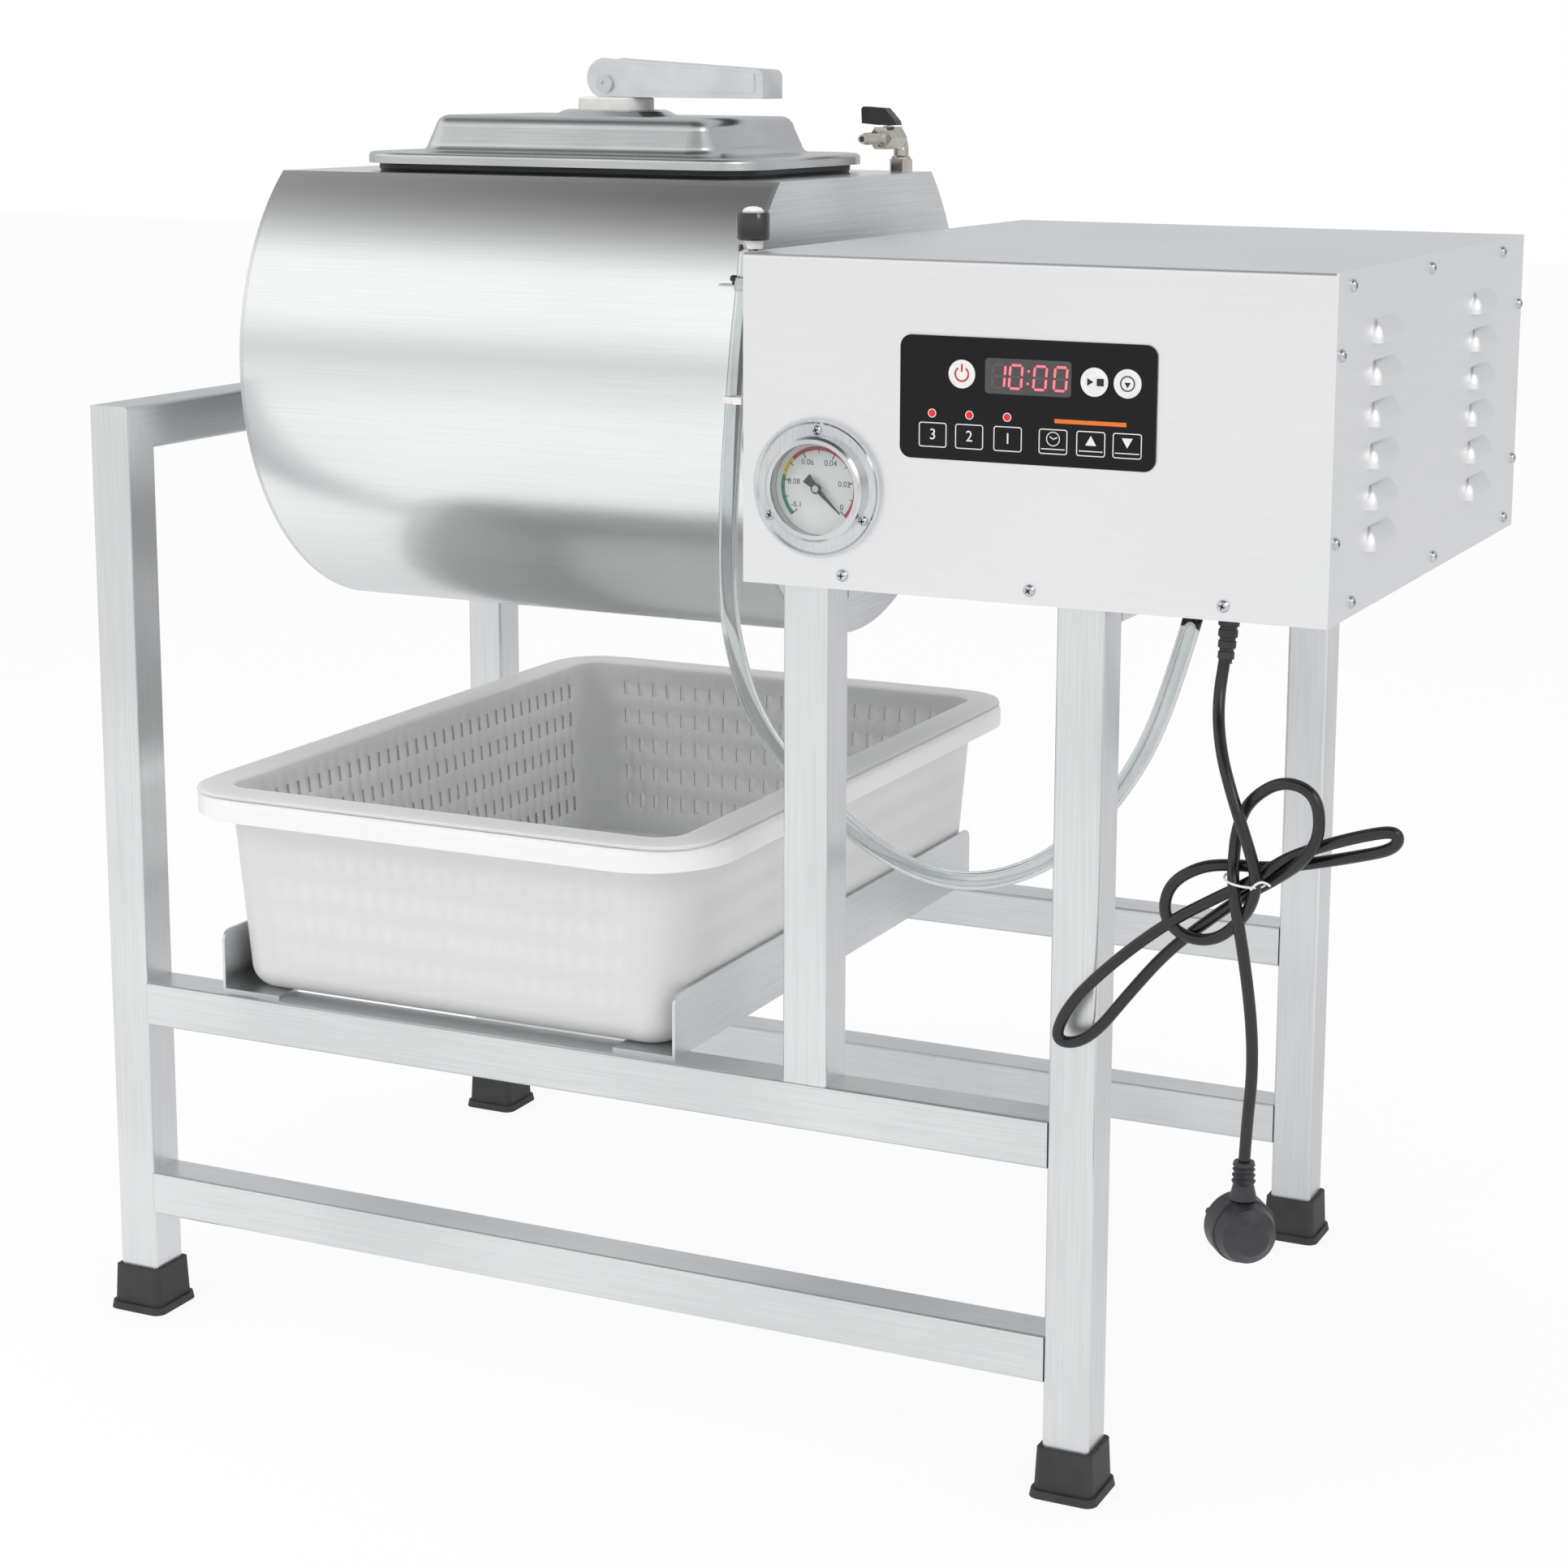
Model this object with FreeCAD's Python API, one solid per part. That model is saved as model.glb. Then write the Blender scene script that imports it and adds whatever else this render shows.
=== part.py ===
import FreeCAD, Part
import math
import os

# Vacuum tumbler for meat: a horizontal steel drum on a tube frame, with a drive cabinet beside it.
# Corner frame, mm: X to the right along the drum, Y from the front to the back, Z up from the floor,
# zero at the outer corner of the left front leg. Parts are moved to the row frame when they are written.

V = FreeCAD.Vector
X, Y, Z = V(1, 0, 0), V(0, 1, 0), V(0, 0, 1)
GAP = 0.3                 # between pieces that must not touch
RUN_FIT = 0.05            # radial, shaft in bearing
ARC_MID = 1 - math.sqrt(0.5)   # how far a quarter arc's middle lies in from its corner

# Frame of square tube
TUBE = 30.0
TUBE_WALL = 1.5
TUBE_EDGE = 2.5
FRAME_W = 718.0
FRAME_D = 500.0
LEFT_H = 632.0            # top of the left portal, which carries the drum's bearing
RIGHT_H = 568.0           # top of the tubes under the cabinet
MID_RAIL_TOP = 238.0
LOW_RAIL_TOP = 102.0
MID_LEG_X = 512.0

# Rubber feet
FOOT_H = 31.0
FOOT_FLOOR = 6.0
FOOT_TOP_LIP = 3.0
FOOT_FLARE = 7.0
FOOT_SOLE = 5.0

# Cabinet
SHEET = 1.5
BEND_R = 3.0              # outside of the fold between the front and the top
CAB_X = 486.0
CAB_OVERHANG = 132.0      # cabinet beyond the frame at the right
CAB_D = 450.0
CAB_TOP = 748.0
SKIRT = 18.0              # the panels reach this far below the tubes
FLANGE = 16.0
SCREW_D = 4.0
HEAD_D = 7.5
HEAD_H = 2.4
SCREW_L = 9.0
SMALL_HEAD_D = 6.2        # screws of the gauge's flange
EDGE_INSET = 8.5          # screws from the edge of a panel

# Drum
DRUM_Y = 250.0
DRUM_Z = 654.0
DRUM_R = 178.0
DRUM_X = 70.0
DRUM_L = 377.0
DRUM_WALL = 2.0
END_PLATE = 3.0
FLAT_H = 130.0            # top face of the flat above the axis
FLAT_PLATE = 3.0
STUB_D = 20.0
DRIVE_D = 25.0
OUTPUT_D = 15.0
HUB_D = 84.0
HUB_T = 8.0
BAFFLE_H = 32.0
BAFFLE_W = 44.0
BAFFLE_L = 300.0

# Lid and its opening
LID_X = 262.0
OPENING = (206.0, 138.0)  # outside of the collar
OPENING_R = 30.0
COLLAR_T = 2.5
COLLAR_UP = 11.0
COLLAR_DOWN = 15.0
LID = (302.0, 210.0)      # over the rim
LID_R = 38.0
PAN = (224.0, 156.0)      # over the foot of the pressed pan
PAN_R = 18.0
LID_SHEET = 1.5
LID_RISE = 38.0           # plateau above the flat
RIM_TOP = 13.0            # top of the lid's rim above the flat
RIM_LIP = 7.4             # height of the rim's turned-down edge
GASKET_W = 14.0
BOSS_R = 43.0
BOSS_H = 4.0
SPACER_R = 26.0
SPACER_H = 8.4

# Cam lever
STUD_D = 10.0
STUD_FIT = 0.2
PIN_D = 8.0
CAM_LOW = 9.0             # pivot above the spacer with the lever flat
CAM_DRAW = 5.6            # rise of the pivot over a quarter turn
CAM_GAP = 0.25
LEVER_L = 120.0
LEVER_W = 30.0
LEVER_H = 26.0
LEVER_TIP_H = 19.0
LEVER_SHEET = 2.5
BAR = (186.0, 24.0, 10.0)
BAR_DROP = 6.0            # bar below the collar while the lid is free

# Vacuum valve on the flat
VALVE_X = 433.0
VALVE_Y = 350.0
VALVE_HEX = 15.0
VALVE_PIPE = 10.5
VALVE_RISE = 24.0

# Gauge and control panel
GAUGE_X = 536.0
GAUGE_Z = 610.0
GAUGE_FLANGE_R = 41.5
GAUGE_CASE_R = 30.0
GAUGE_DEPTH = 28.0
GAUGE_START = -43.0       # needle at zero, degrees above +X seen from the front
OVERLAY = (589.0, 632.0, 158.0, 72.0)
OVERLAY_T = 1.0

# Tub and basket
TUB_X = 262.0
TUB_Y = 256.0
TUB_BOTTOM = (328.0, 484.0)
TUB_R = 24.0
TUB_TAPER = 12.0
TUB_WALL = 2.5
TUB_H = 138.0
RIM_W = 22.0
RIM_DROP = 14.0
BASKET_GAP = 3.0
BASKET_WALL = 2.0
BRACKET_T = 2.0
BRACKET_W = 45.0
BRACKET_H = 42.0
BRACKET_MARGIN = 8.0
LEFT_BRACKET_X = 88.0
TUB_SIDE_PLAY = 5.0

# Hose and power cord
HOSE_D = 12.0
CORD_D = 7.0
HOSE_FITTING = (752.0, 60.0)
CORD_GLAND = (786.0, 22.0)
HANK_Y = -14.4
HANK_T = 21.0
GROMMET_R = 6.5           # of both fittings, in the shelf's holes
PLUG_TOP = V(815.0, HANK_Y, 238.0)

CAB_BOTTOM = RIGHT_H - SKIRT
CAB_RIGHT = FRAME_W + CAB_OVERHANG
CAB_BACK = CAB_D - SHEET
FLAT_Z = DRUM_Z + FLAT_H
DRUM_END = DRUM_X + DRUM_L
SHELF_Z = MID_RAIL_TOP + BRACKET_T
SPACER_Z = FLAT_Z + LID_RISE + BOSS_H
PIVOT_Z = SPACER_Z + SPACER_H + CAM_LOW

nodes = {}


# Helpers

def block(x0, x1, y0, y1, z0, z1):
    return Part.makeBox(x1 - x0, y1 - y0, z1 - z0, V(x0, y0, z0))


def rod(start, axis, diameter, length):
    return Part.makeCylinder(diameter / 2, length, start, axis)


def fuse(*shapes):
    return shapes[0].fuse(list(shapes[1:])).removeSplitter()


def face_of(points):
    """A flat face inside a closed run of points, where a pair of points makes an arc."""
    edges = []
    last = points[0]
    closed = isinstance(points[-1], tuple) and points[-1][1].isEqual(points[0], 1e-6)
    for item in points[1:] + ([] if closed else points[:1]):
        if isinstance(item, tuple):
            through, end = item
            edges.append(Part.Arc(last, through, end).toShape())
        else:
            end = item
            edges.append(Part.LineSegment(last, end).toShape())
        last = end
    return Part.Face(Part.Wire(edges))


def turned(start, axis, outline):
    """Turn an outline of (radius, distance along the axis) about the axis."""
    side = axis.cross(X if abs(axis.z) > 0.5 else Y if abs(axis.x) > 0.5 else Z)
    side.normalize()
    face = face_of([start + side * r + axis * s for r, s in outline])
    return face.revolve(start, axis, 360)


def outline_wire(cx, cy, z, width, depth, radius):
    hx, hy = width / 2, depth / 2
    edges = []
    turn = radius * ARC_MID
    for sx, sy in ((1, 1), (-1, 1), (-1, -1), (1, -1)):
        corner = V(cx + sx * hx, cy + sy * hy, z)
        along_x = corner - V(sx * radius, 0, 0)
        along_y = corner - V(0, sy * radius, 0)
        middle = corner - V(sx * turn, sy * turn, 0)
        first, last = (along_y, along_x) if sx * sy > 0 else (along_x, along_y)
        edges.append((first, middle, last))
    shapes = []
    for i, (first, middle, last) in enumerate(edges):
        shapes.append(Part.Arc(first, middle, last).toShape())
        shapes.append(Part.LineSegment(last, edges[(i + 1) % 4][0]).toShape())
    return Part.Wire(shapes)


def section(items):
    """A profile in the plane y = 0 from (r, z) pairs, where two pairs together make an arc."""
    place = lambda pair: V(pair[0], 0, pair[1])
    points = []
    for item in items:
        if isinstance(item[0], tuple):
            points.append((place(item[0]), place(item[1])))
        else:
            points.append(place(item))
    return face_of(points)


def ring(profile, half_x, half_y, centre):
    """Carry a profile round a rectangle with rounded corners, as a pressed or moulded rim."""
    parts = []
    for k, (sx, sy) in enumerate(((1, 1), (-1, 1), (-1, -1), (1, -1))):
        corner = profile.revolve(V(0, 0, 0), Z, 90)
        corner.rotate(V(0, 0, 0), Z, 90 * k)
        corner.translate(V(sx * half_x, sy * half_y, 0))
        parts.append(corner)
        reach, half = (half_x, half_y) if k % 2 == 0 else (half_y, half_x)
        side = profile.translated(V(reach, -half, 0)).extrude(V(0, 2 * half, 0))
        side.rotate(V(0, 0, 0), Z, 90 * k)
        parts.append(side)
    result = fuse(*parts)
    result.translate(centre)
    return result


def slab(half_x, half_y, z0, z1, centre):
    return block(centre.x - half_x, centre.x + half_x, centre.y - half_y, centre.y + half_y,
                 centre.z + z0, centre.z + z1)


def cord(points, diameter, name):
    """A round cord along straight runs joined by arcs as large as the runs allow."""
    edges = []
    last = points[0]
    radii = []
    for before, corner, after in zip(points, points[1:], points[2:]):
        into, out = corner - before, after - corner
        short = min(into.Length, out.Length)
        into.normalize()
        out.normalize()
        turn = into.getAngle(out)
        trim = 0.45 * short
        radius = trim / math.tan(turn / 2)
        radii.append(round(radius))
        start, end = corner - into * trim, corner + out * trim
        towards = out - into
        towards.normalize()
        middle = corner + towards * (radius / math.cos(turn / 2) - radius)
        edges.append(Part.LineSegment(last, start).toShape())
        edges.append(Part.Arc(start, middle, end).toShape())
        last = end
    edges.append(Part.LineSegment(last, points[-1]).toShape())
    path = Part.Wire(edges)
    heading = points[1] - points[0]
    profile = Part.Wire([Part.Circle(points[0], heading, diameter / 2).toShape()])
    tube = path.makePipeShell([profile], True, False)
    expected = math.pi * diameter ** 2 / 4 * path.Length
    print(name, "length", round(path.Length), "radii", radii, "volume ratio",
          round(tube.Volume / expected, 3))
    return tube


# Frame

def square_tube(x0, x1, y0, y1, z0, z1, axis):
    """A square tube with rounded long edges between two corners, open at both ends."""
    body = block(x0, x1, y0, y1, z0, z1)
    long_edges = [e for e in body.Edges if abs(abs(e.tangentAt(0).dot(axis)) - 1) < 1e-6]
    body = body.makeFillet(TUBE_EDGE, long_edges)
    side = V(1, 1, 1) - axis
    inner = block(x0 + side.x * TUBE_WALL, x1 - side.x * TUBE_WALL, y0 + side.y * TUBE_WALL,
                  y1 - side.y * TUBE_WALL, z0 + side.z * TUBE_WALL, z1 - side.z * TUBE_WALL)
    return body.cut(inner)


def leg(x, y, bottom, top):
    return square_tube(x, x + TUBE, y, y + TUBE, bottom, top, Z)


def mitre(back):
    """The wedge above the slanting cut at a top corner of the left portal."""
    over = 5.0
    points = [(-over, LEFT_H + over), (TUBE + over, LEFT_H - TUBE - over), (TUBE + over, LEFT_H + over)]
    if back:
        points = [(FRAME_D - y, z) for y, z in points]
    return face_of([V(-over, y, z) for y, z in points]).extrude(V(TUBE + 2 * over, 0, 0))


def left_portal():
    back_y = FRAME_D - TUBE
    nodes["left_front_leg"] = leg(0, 0, FOOT_FLOOR, LEFT_H).cut(mitre(False))
    nodes["left_back_leg"] = leg(0, back_y, FOOT_FLOOR, LEFT_H).cut(mitre(True))
    top = square_tube(0, TUBE, 0, FRAME_D, LEFT_H - TUBE, LEFT_H, Y)
    nodes["left_top_tube"] = top.common(fuse(block(-1, TUBE + 1, TUBE, back_y, 0, LEFT_H),
                                             mitre(False), mitre(True)))


def other_legs():
    back_y = FRAME_D - TUBE
    right_x = FRAME_W - TUBE
    for name, x, bottom in (("mid", MID_LEG_X, MID_RAIL_TOP), ("right", right_x, FOOT_FLOOR)):
        nodes[f"{name}_front_leg"] = leg(x, 0, bottom, RIGHT_H)
        cap = block(x + TUBE_WALL / 2, x + TUBE - TUBE_WALL / 2, back_y + TUBE_WALL / 2,
                    FRAME_D - TUBE_WALL / 2, RIGHT_H - TUBE_WALL, RIGHT_H)
        nodes[f"{name}_back_leg"] = fuse(leg(x, back_y, bottom, RIGHT_H), cap)
    tubes = [square_tube(x, x + TUBE, TUBE, back_y, RIGHT_H - TUBE, RIGHT_H, Y)
             for x in (MID_LEG_X, right_x)]
    nodes["cabinet_tubes"] = Part.makeCompound(tubes)


def rails():
    for side, y in (("front", 0), ("back", FRAME_D - TUBE)):
        for level, top in (("mid", MID_RAIL_TOP), ("low", LOW_RAIL_TOP)):
            nodes[f"{side}_{level}_rail"] = square_tube(TUBE, FRAME_W - TUBE, y, y + TUBE,
                                                        top - TUBE, top, X)


def foot(x, y):
    """A tapered rubber cup on a leg's end, with a sole flange."""
    cx, cy = x + TUBE / 2, y + TUBE / 2
    top = TUBE + 2 * FOOT_TOP_LIP
    low = top + 3
    sole = TUBE + 2 * FOOT_FLARE
    cup = Part.makeLoft([outline_wire(cx, cy, 0, low, low, 5), outline_wire(cx, cy, FOOT_H, top, top, 4)],
                        True)
    flange = Part.makeLoft([outline_wire(cx, cy, 0, sole, sole, 7),
                            outline_wire(cx, cy, FOOT_SOLE, sole - 2, sole - 2, 6)], True)
    pocket = block(x - GAP / 2, x + TUBE + GAP / 2, y - GAP / 2, y + TUBE + GAP / 2, FOOT_FLOOR, FOOT_H + 1)
    return fuse(cup, flange).cut(pocket)


def feet():
    corners = [(x, y) for x in (0, FRAME_W - TUBE) for y in (0, FRAME_D - TUBE)]
    nodes["rubber_feet"] = Part.makeCompound([foot(x, y) for x, y in corners])


def tub_bracket(x, upright_x):
    """An angle across the two middle rails, whose upright keeps the tub in place."""
    y0, y1 = BRACKET_MARGIN, FRAME_D - BRACKET_MARGIN
    z = MID_RAIL_TOP
    shelf = block(x, x + BRACKET_W, y0, y1, z, SHELF_Z)
    upright = block(upright_x, upright_x + BRACKET_T, y0, y1, z, z + BRACKET_H)
    corners = [e for e in upright.Edges if abs(e.tangentAt(0).x) > 0.9 and e.BoundBox.ZMin > z + 1]
    return fuse(shelf, upright.makeFillet(8, corners))


def brackets():
    right_x = TUB_X + TUB_BOTTOM[0] / 2 + TUB_SIDE_PLAY - BRACKET_W + BRACKET_T
    nodes["tub_brackets"] = Part.makeCompound([
        tub_bracket(LEFT_BRACKET_X, LEFT_BRACKET_X),
        tub_bracket(right_x, right_x + BRACKET_W - BRACKET_T)])


# Cabinet

def screw(head_point, inward, head_d=HEAD_D):
    """A pan head screw: head_point lies on the panel under the head, inward is the screw's direction."""
    r, h = head_d / 2, HEAD_H
    crown = section([(0, 0), (r, 0), ((r * 0.9, h * 0.6), (r * 0.55, h)), (0, h)])
    head = crown.revolve(V(0, 0, 0), Z, 360)
    shank = rod(V(0, 0, -SCREW_L), Z, SCREW_D, SCREW_L)
    result = fuse(head, shank)
    result.Placement = FreeCAD.Placement(head_point, FreeCAD.Rotation(Z, -inward))
    return result


def front_screw_points():
    z = CAB_BOTTOM + EDGE_INSET
    return [V(x, -SHEET, z) for x in (CAB_X + 66, CAB_X + 185.5, CAB_X + 303)]


def cover_screw_points():
    front, back = EDGE_INSET, CAB_D - EDGE_INSET
    bottom, top = CAB_BOTTOM + EDGE_INSET, CAB_TOP - EDGE_INSET
    spots = [(y, top) for y in (27, 202, 388)]
    spots += [(y, bottom) for y in (45, 232, 423)]
    spots += [(front, z) for z in (597, 702)] + [(back, z) for z in (597, 702)]
    return [V(CAB_RIGHT, y, z) for y, z in spots]


def back_screw_points():
    spots = [(x, z) for x in (CAB_X + 110, CAB_RIGHT - 60)
             for z in (CAB_BOTTOM + EDGE_INSET, CAB_TOP - EDGE_INSET)]
    return [V(x, CAB_D, z) for x, z in spots]


def drill(body, points, axis):
    """Clearance holes for screws whose heads sit at the points."""
    holes = [rod(p - axis * (SCREW_L + 2), axis, SCREW_D + GAP, SCREW_L + 4) for p in points]
    return body.cut(holes)


def cabinet_shell():
    """Front and top folded from one sheet, with flanges turned in for the cover."""
    r = BEND_R
    inner = r - SHEET
    x1 = CAB_RIGHT - SHEET
    profile = face_of([V(CAB_X, -SHEET, CAB_BOTTOM), V(CAB_X, -SHEET, CAB_TOP - r),
                       (V(CAB_X, -SHEET + r * ARC_MID, CAB_TOP - r * ARC_MID), V(CAB_X, -SHEET + r, CAB_TOP)),
                       V(CAB_X, CAB_BACK, CAB_TOP), V(CAB_X, CAB_BACK, CAB_TOP - SHEET),
                       V(CAB_X, r - SHEET, CAB_TOP - SHEET),
                       (V(CAB_X, inner * ARC_MID, CAB_TOP - SHEET - inner * ARC_MID),
                        V(CAB_X, 0, CAB_TOP - r)), V(CAB_X, 0, CAB_BOTTOM)])
    sheet = profile.extrude(V(x1 - CAB_X, 0, 0))
    top_flange = block(x1 - SHEET, x1, FLANGE, CAB_BACK, CAB_TOP - FLANGE, CAB_TOP - SHEET / 2)
    front_flange = block(x1 - SHEET, x1, -SHEET / 2, FLANGE, RIGHT_H + SHEET + GAP, CAB_TOP - r)
    back_flange = block(CAB_X + 2 * FLANGE, x1 - 2 * FLANGE, CAB_BACK - SHEET, CAB_BACK, CAB_TOP - FLANGE,
                        CAB_TOP - SHEET / 2)
    shell = fuse(sheet, top_flange, front_flange, back_flange)
    shell = shell.cut([rod(V(GAUGE_X, -5, GAUGE_Z), Y, 2 * GAUGE_CASE_R + 2 * GAP, 10)] + gauge_screw_holes())
    shell = drill(drill(shell, front_screw_points(), -Y), back_screw_points(), Y)
    nodes["cabinet_shell"] = drill(shell, cover_screw_points(), X)


def louvre(cy, cz, bulge, half_h, half_w):
    """The outside of a pressed hood, closed above and at both ends and open below."""
    profile = section([(0, -half_h), (bulge, -half_h), ((bulge * 0.8, half_h * 0.1), (0, half_h))])
    ends = [profile.revolve(V(0, 0, 0), Z, 90 * side).translated(V(0, side * half_w, 0)) for side in (1, -1)]
    middle = profile.translated(V(0, -half_w, 0)).extrude(V(0, 2 * half_w, 0))
    hood = fuse(middle, *ends)
    hood.translate(V(CAB_RIGHT, cy, cz))
    return hood


def right_cover():
    """The cover with two columns of pressed louvres."""
    cover = block(CAB_RIGHT - SHEET, CAB_RIGHT, -SHEET, CAB_D, CAB_BOTTOM, CAB_TOP)
    bulge, half_h, half_w, skin = 6.5, 7.0, 20.5, 1.2
    rows, pitch, low = 6, 24.0, 591.0
    outer, inner = [], []
    for cy in (98.0, 336.0):
        for row in range(rows):
            cz = low + row * pitch
            outer.append(louvre(cy, cz, bulge, half_h, half_w))
            hollow = louvre(cy, cz - skin, bulge - skin, half_h, half_w)
            back = block(CAB_RIGHT - SHEET - 1, CAB_RIGHT, cy - half_w - 3, cy + half_w + 3,
                         cz - half_h, cz + half_h - 2)
            inner += [hollow, back]
    cover = cover.fuse(outer).cut(inner)
    nodes["right_cover"] = drill(cover, cover_screw_points(), X)


def left_panel():
    x0, x1 = CAB_X, CAB_X + SHEET
    panel = block(x0, x1, 0, CAB_BACK, CAB_BOTTOM, CAB_TOP - SHEET)
    bend = block(x0, x1, 0, 2 * SHEET, CAB_TOP - 3 * SHEET, CAB_TOP)
    flange = block(x0, x0 + FLANGE, 2 * SHEET, 3 * SHEET, RIGHT_H + SHEET + GAP, CAB_TOP - 3 * SHEET)
    hole = rod(V(x0 - 1, DRUM_Y, DRUM_Z), X, DRIVE_D + 10, FLANGE + 2)
    nodes["left_panel"] = fuse(panel, flange).cut([hole, bend])


def back_panel():
    x0, x1 = CAB_X, CAB_RIGHT - SHEET
    panel = block(x0, x1, CAB_BACK, CAB_D, CAB_BOTTOM, CAB_TOP)
    slots = []
    for row in range(6):
        z = CAB_BOTTOM + 60 + 18 * row
        for column in range(2):
            x = CAB_X + 90 + 130 * column
            slots.append(block(x, x + 70, CAB_BACK - 1, CAB_D + 1, z, z + 5))
    notches = [block(x - GAP, x + TUBE + GAP, CAB_BACK - 1, CAB_D + 1, 0, RIGHT_H)
               for x in (MID_LEG_X, FRAME_W - TUBE)]
    panel = panel.cut(slots + notches)
    right_flange = block(x1 - SHEET, x1, CAB_BACK - FLANGE, CAB_BACK, RIGHT_H + SHEET + GAP,
                         CAB_TOP - FLANGE - GAP)
    panel = drill(fuse(panel, right_flange), cover_screw_points(), X)
    nodes["back_panel"] = drill(panel, back_screw_points(), Y)


def base_plate():
    """The shelf on the tubes, with flanges turned down behind the skirts and notches at the legs."""
    x0, x1 = CAB_X + SHEET, CAB_RIGHT - SHEET
    y0, y1 = 0, CAB_BACK
    z0, z1 = RIGHT_H, RIGHT_H + SHEET
    plate = block(x0, x1, y0, y1, z0, z1)
    low = CAB_BOTTOM + 1
    front = block(x0, x1, y0, y0 + SHEET, low, z0)
    back = block(x0, x1, y1 - SHEET, y1, low, z0)
    right = block(x1 - SHEET, x1, y0 + SHEET, y1 - SHEET, low, z0)
    left = block(x0, x0 + SHEET, y0 + SHEET, y1 - SHEET, low, z0)
    plate = fuse(plate, front, back, right, left)
    notches = [block(x - 1, x + TUBE + 1, y0 - 1, y0 + TUBE, low - 1, z0) for x in (MID_LEG_X, FRAME_W - TUBE)]
    notches += [block(x - 1, x + TUBE + 1, y1 - TUBE, y1 + 1, low - 1, z0)
                for x in (MID_LEG_X, FRAME_W - TUBE)]
    holes = [rod(V(x, y, z0 - 1), Z, 2 * GROMMET_R + GAP, 5) for x, y in (HOSE_FITTING, CORD_GLAND)]
    plate = plate.cut(notches + holes)
    plate = drill(plate, front_screw_points(), -Y)
    plate = drill(plate, back_screw_points(), Y)
    nodes["base_plate"] = drill(plate, cover_screw_points(), X)


# Gauge and control panel

def gauge():
    """A flush mounted vacuum gauge: the case hangs in the panel by its front flange."""
    centre = V(GAUGE_X, -SHEET, GAUGE_Z)
    out = -Y
    r, case_r = GAUGE_FLANGE_R, GAUGE_CASE_R
    bezel_r, bezel_front, skin = case_r + 1.5, 9.0, 1.5
    case = turned(centre, out, [(0, -GAUGE_DEPTH), (case_r, -GAUGE_DEPTH), (case_r, 0), (r, 0),
                                (r, 3.2), (r - 1.5, 3.2), (r - 3, 2), (bezel_r, 2),
                                (bezel_r, bezel_front - 1.5), (bezel_r - 1.5, bezel_front),
                                (bezel_r - 4, bezel_front), (bezel_r - 4, bezel_front - 1),
                                (case_r - skin, bezel_front - 1), (case_r - skin, -GAUGE_DEPTH + skin),
                                (0, -GAUGE_DEPTH + skin)])
    movement = rod(centre - out * (GAUGE_DEPTH - skin), out, 22, GAUGE_DEPTH - skin - 3)
    stem = rod(centre - out * (GAUGE_DEPTH + 14), out, 12, 14)
    bore = rod(centre - out * 14, out, 3, 14)
    nodes["gauge_case"] = fuse(case, movement, stem).cut([bore] + gauge_screw_holes())
    dial_back = -3.0 + GAP / 3
    dial_r = case_r - skin - GAP / 2
    dial = turned(centre, out, [(1.6, dial_back), (dial_r, dial_back), (dial_r, -1.9), (1.6, -1.9)])
    nodes["gauge_dial"] = dial
    glass_r = case_r - skin - GAP / 2
    glass = turned(centre, out, [(0, 5.2), (glass_r, 5.2), (glass_r, 7.7), (0, 7.7)])
    nodes["gauge_glass"] = glass
    nodes["gauge_needle"] = needle(centre, out)


def gauge_screw_spots():
    """Under the heads of the gauge's three screws, on its flange."""
    centre = V(GAUGE_X, -SHEET - 2, GAUGE_Z)
    return [centre + V(math.cos(a), 0, math.sin(a)) * (GAUGE_FLANGE_R - 6.5)
            for a in (math.radians(90 + 120 * k) for k in range(3))]


def gauge_screw_holes():
    return [rod(p - Y * 2, Y, SCREW_D + GAP, SCREW_L) for p in gauge_screw_spots()]


def needle(centre, out):
    """A tapered pointer with a counterweight on a thin spindle, drawn pointing along +X, then set."""
    length, tail, thick = 21.0, 9.0, 0.8
    front = centre + out * 1.5
    tip, root = V(length, 0, 0), V(0, 0, 1.4)
    blade = face_of([front + tip + V(0, 0, 0.3), front + root, front - V(tail, 0, -3.2),
                     front - V(tail, 0, 3.2), front - root, front + tip - V(0, 0, 0.3)]).extrude(out * thick)
    hub = rod(front, out, 6, 2)
    spindle = rod(centre - out * 8, out, 2, 10)
    pointer = fuse(blade, hub, spindle)
    pointer.rotate(centre, Y, -GAUGE_START)
    return pointer


def control_panel():
    x0, z0, width, height = OVERLAY
    y = -SHEET
    overlay = block(x0, x0 + width, y - OVERLAY_T, y, z0, z0 + height)
    corners = [e for e in overlay.Edges if abs(e.tangentAt(0).y) > 0.9]
    nodes["control_overlay"] = overlay.makeFillet(7, corners)
    board = block(x0 + 2, x0 + width - 2, 10, 11.6, z0 + 2, z0 + height - 2)
    posts = [rod(V(x, 0, z), Y, 6, 10) for x in (x0 + 8, x0 + width - 8) for z in (z0 + 8, z0 + height - 8)]
    display = block(x0 + 50, x0 + 108, 2, 10, z0 + 38, z0 + 62)
    relays = [block(x0 + 16 + 24 * k, x0 + 34 + 24 * k, 11.6, 27, z0 + 8, z0 + 24) for k in range(3)]
    choke = rod(V(x0 + 125, 11.6, z0 + 24), Y, 28, 22)
    nodes["control_board"] = fuse(board, display, choke, *posts, *relays)


# Drive and vacuum

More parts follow.
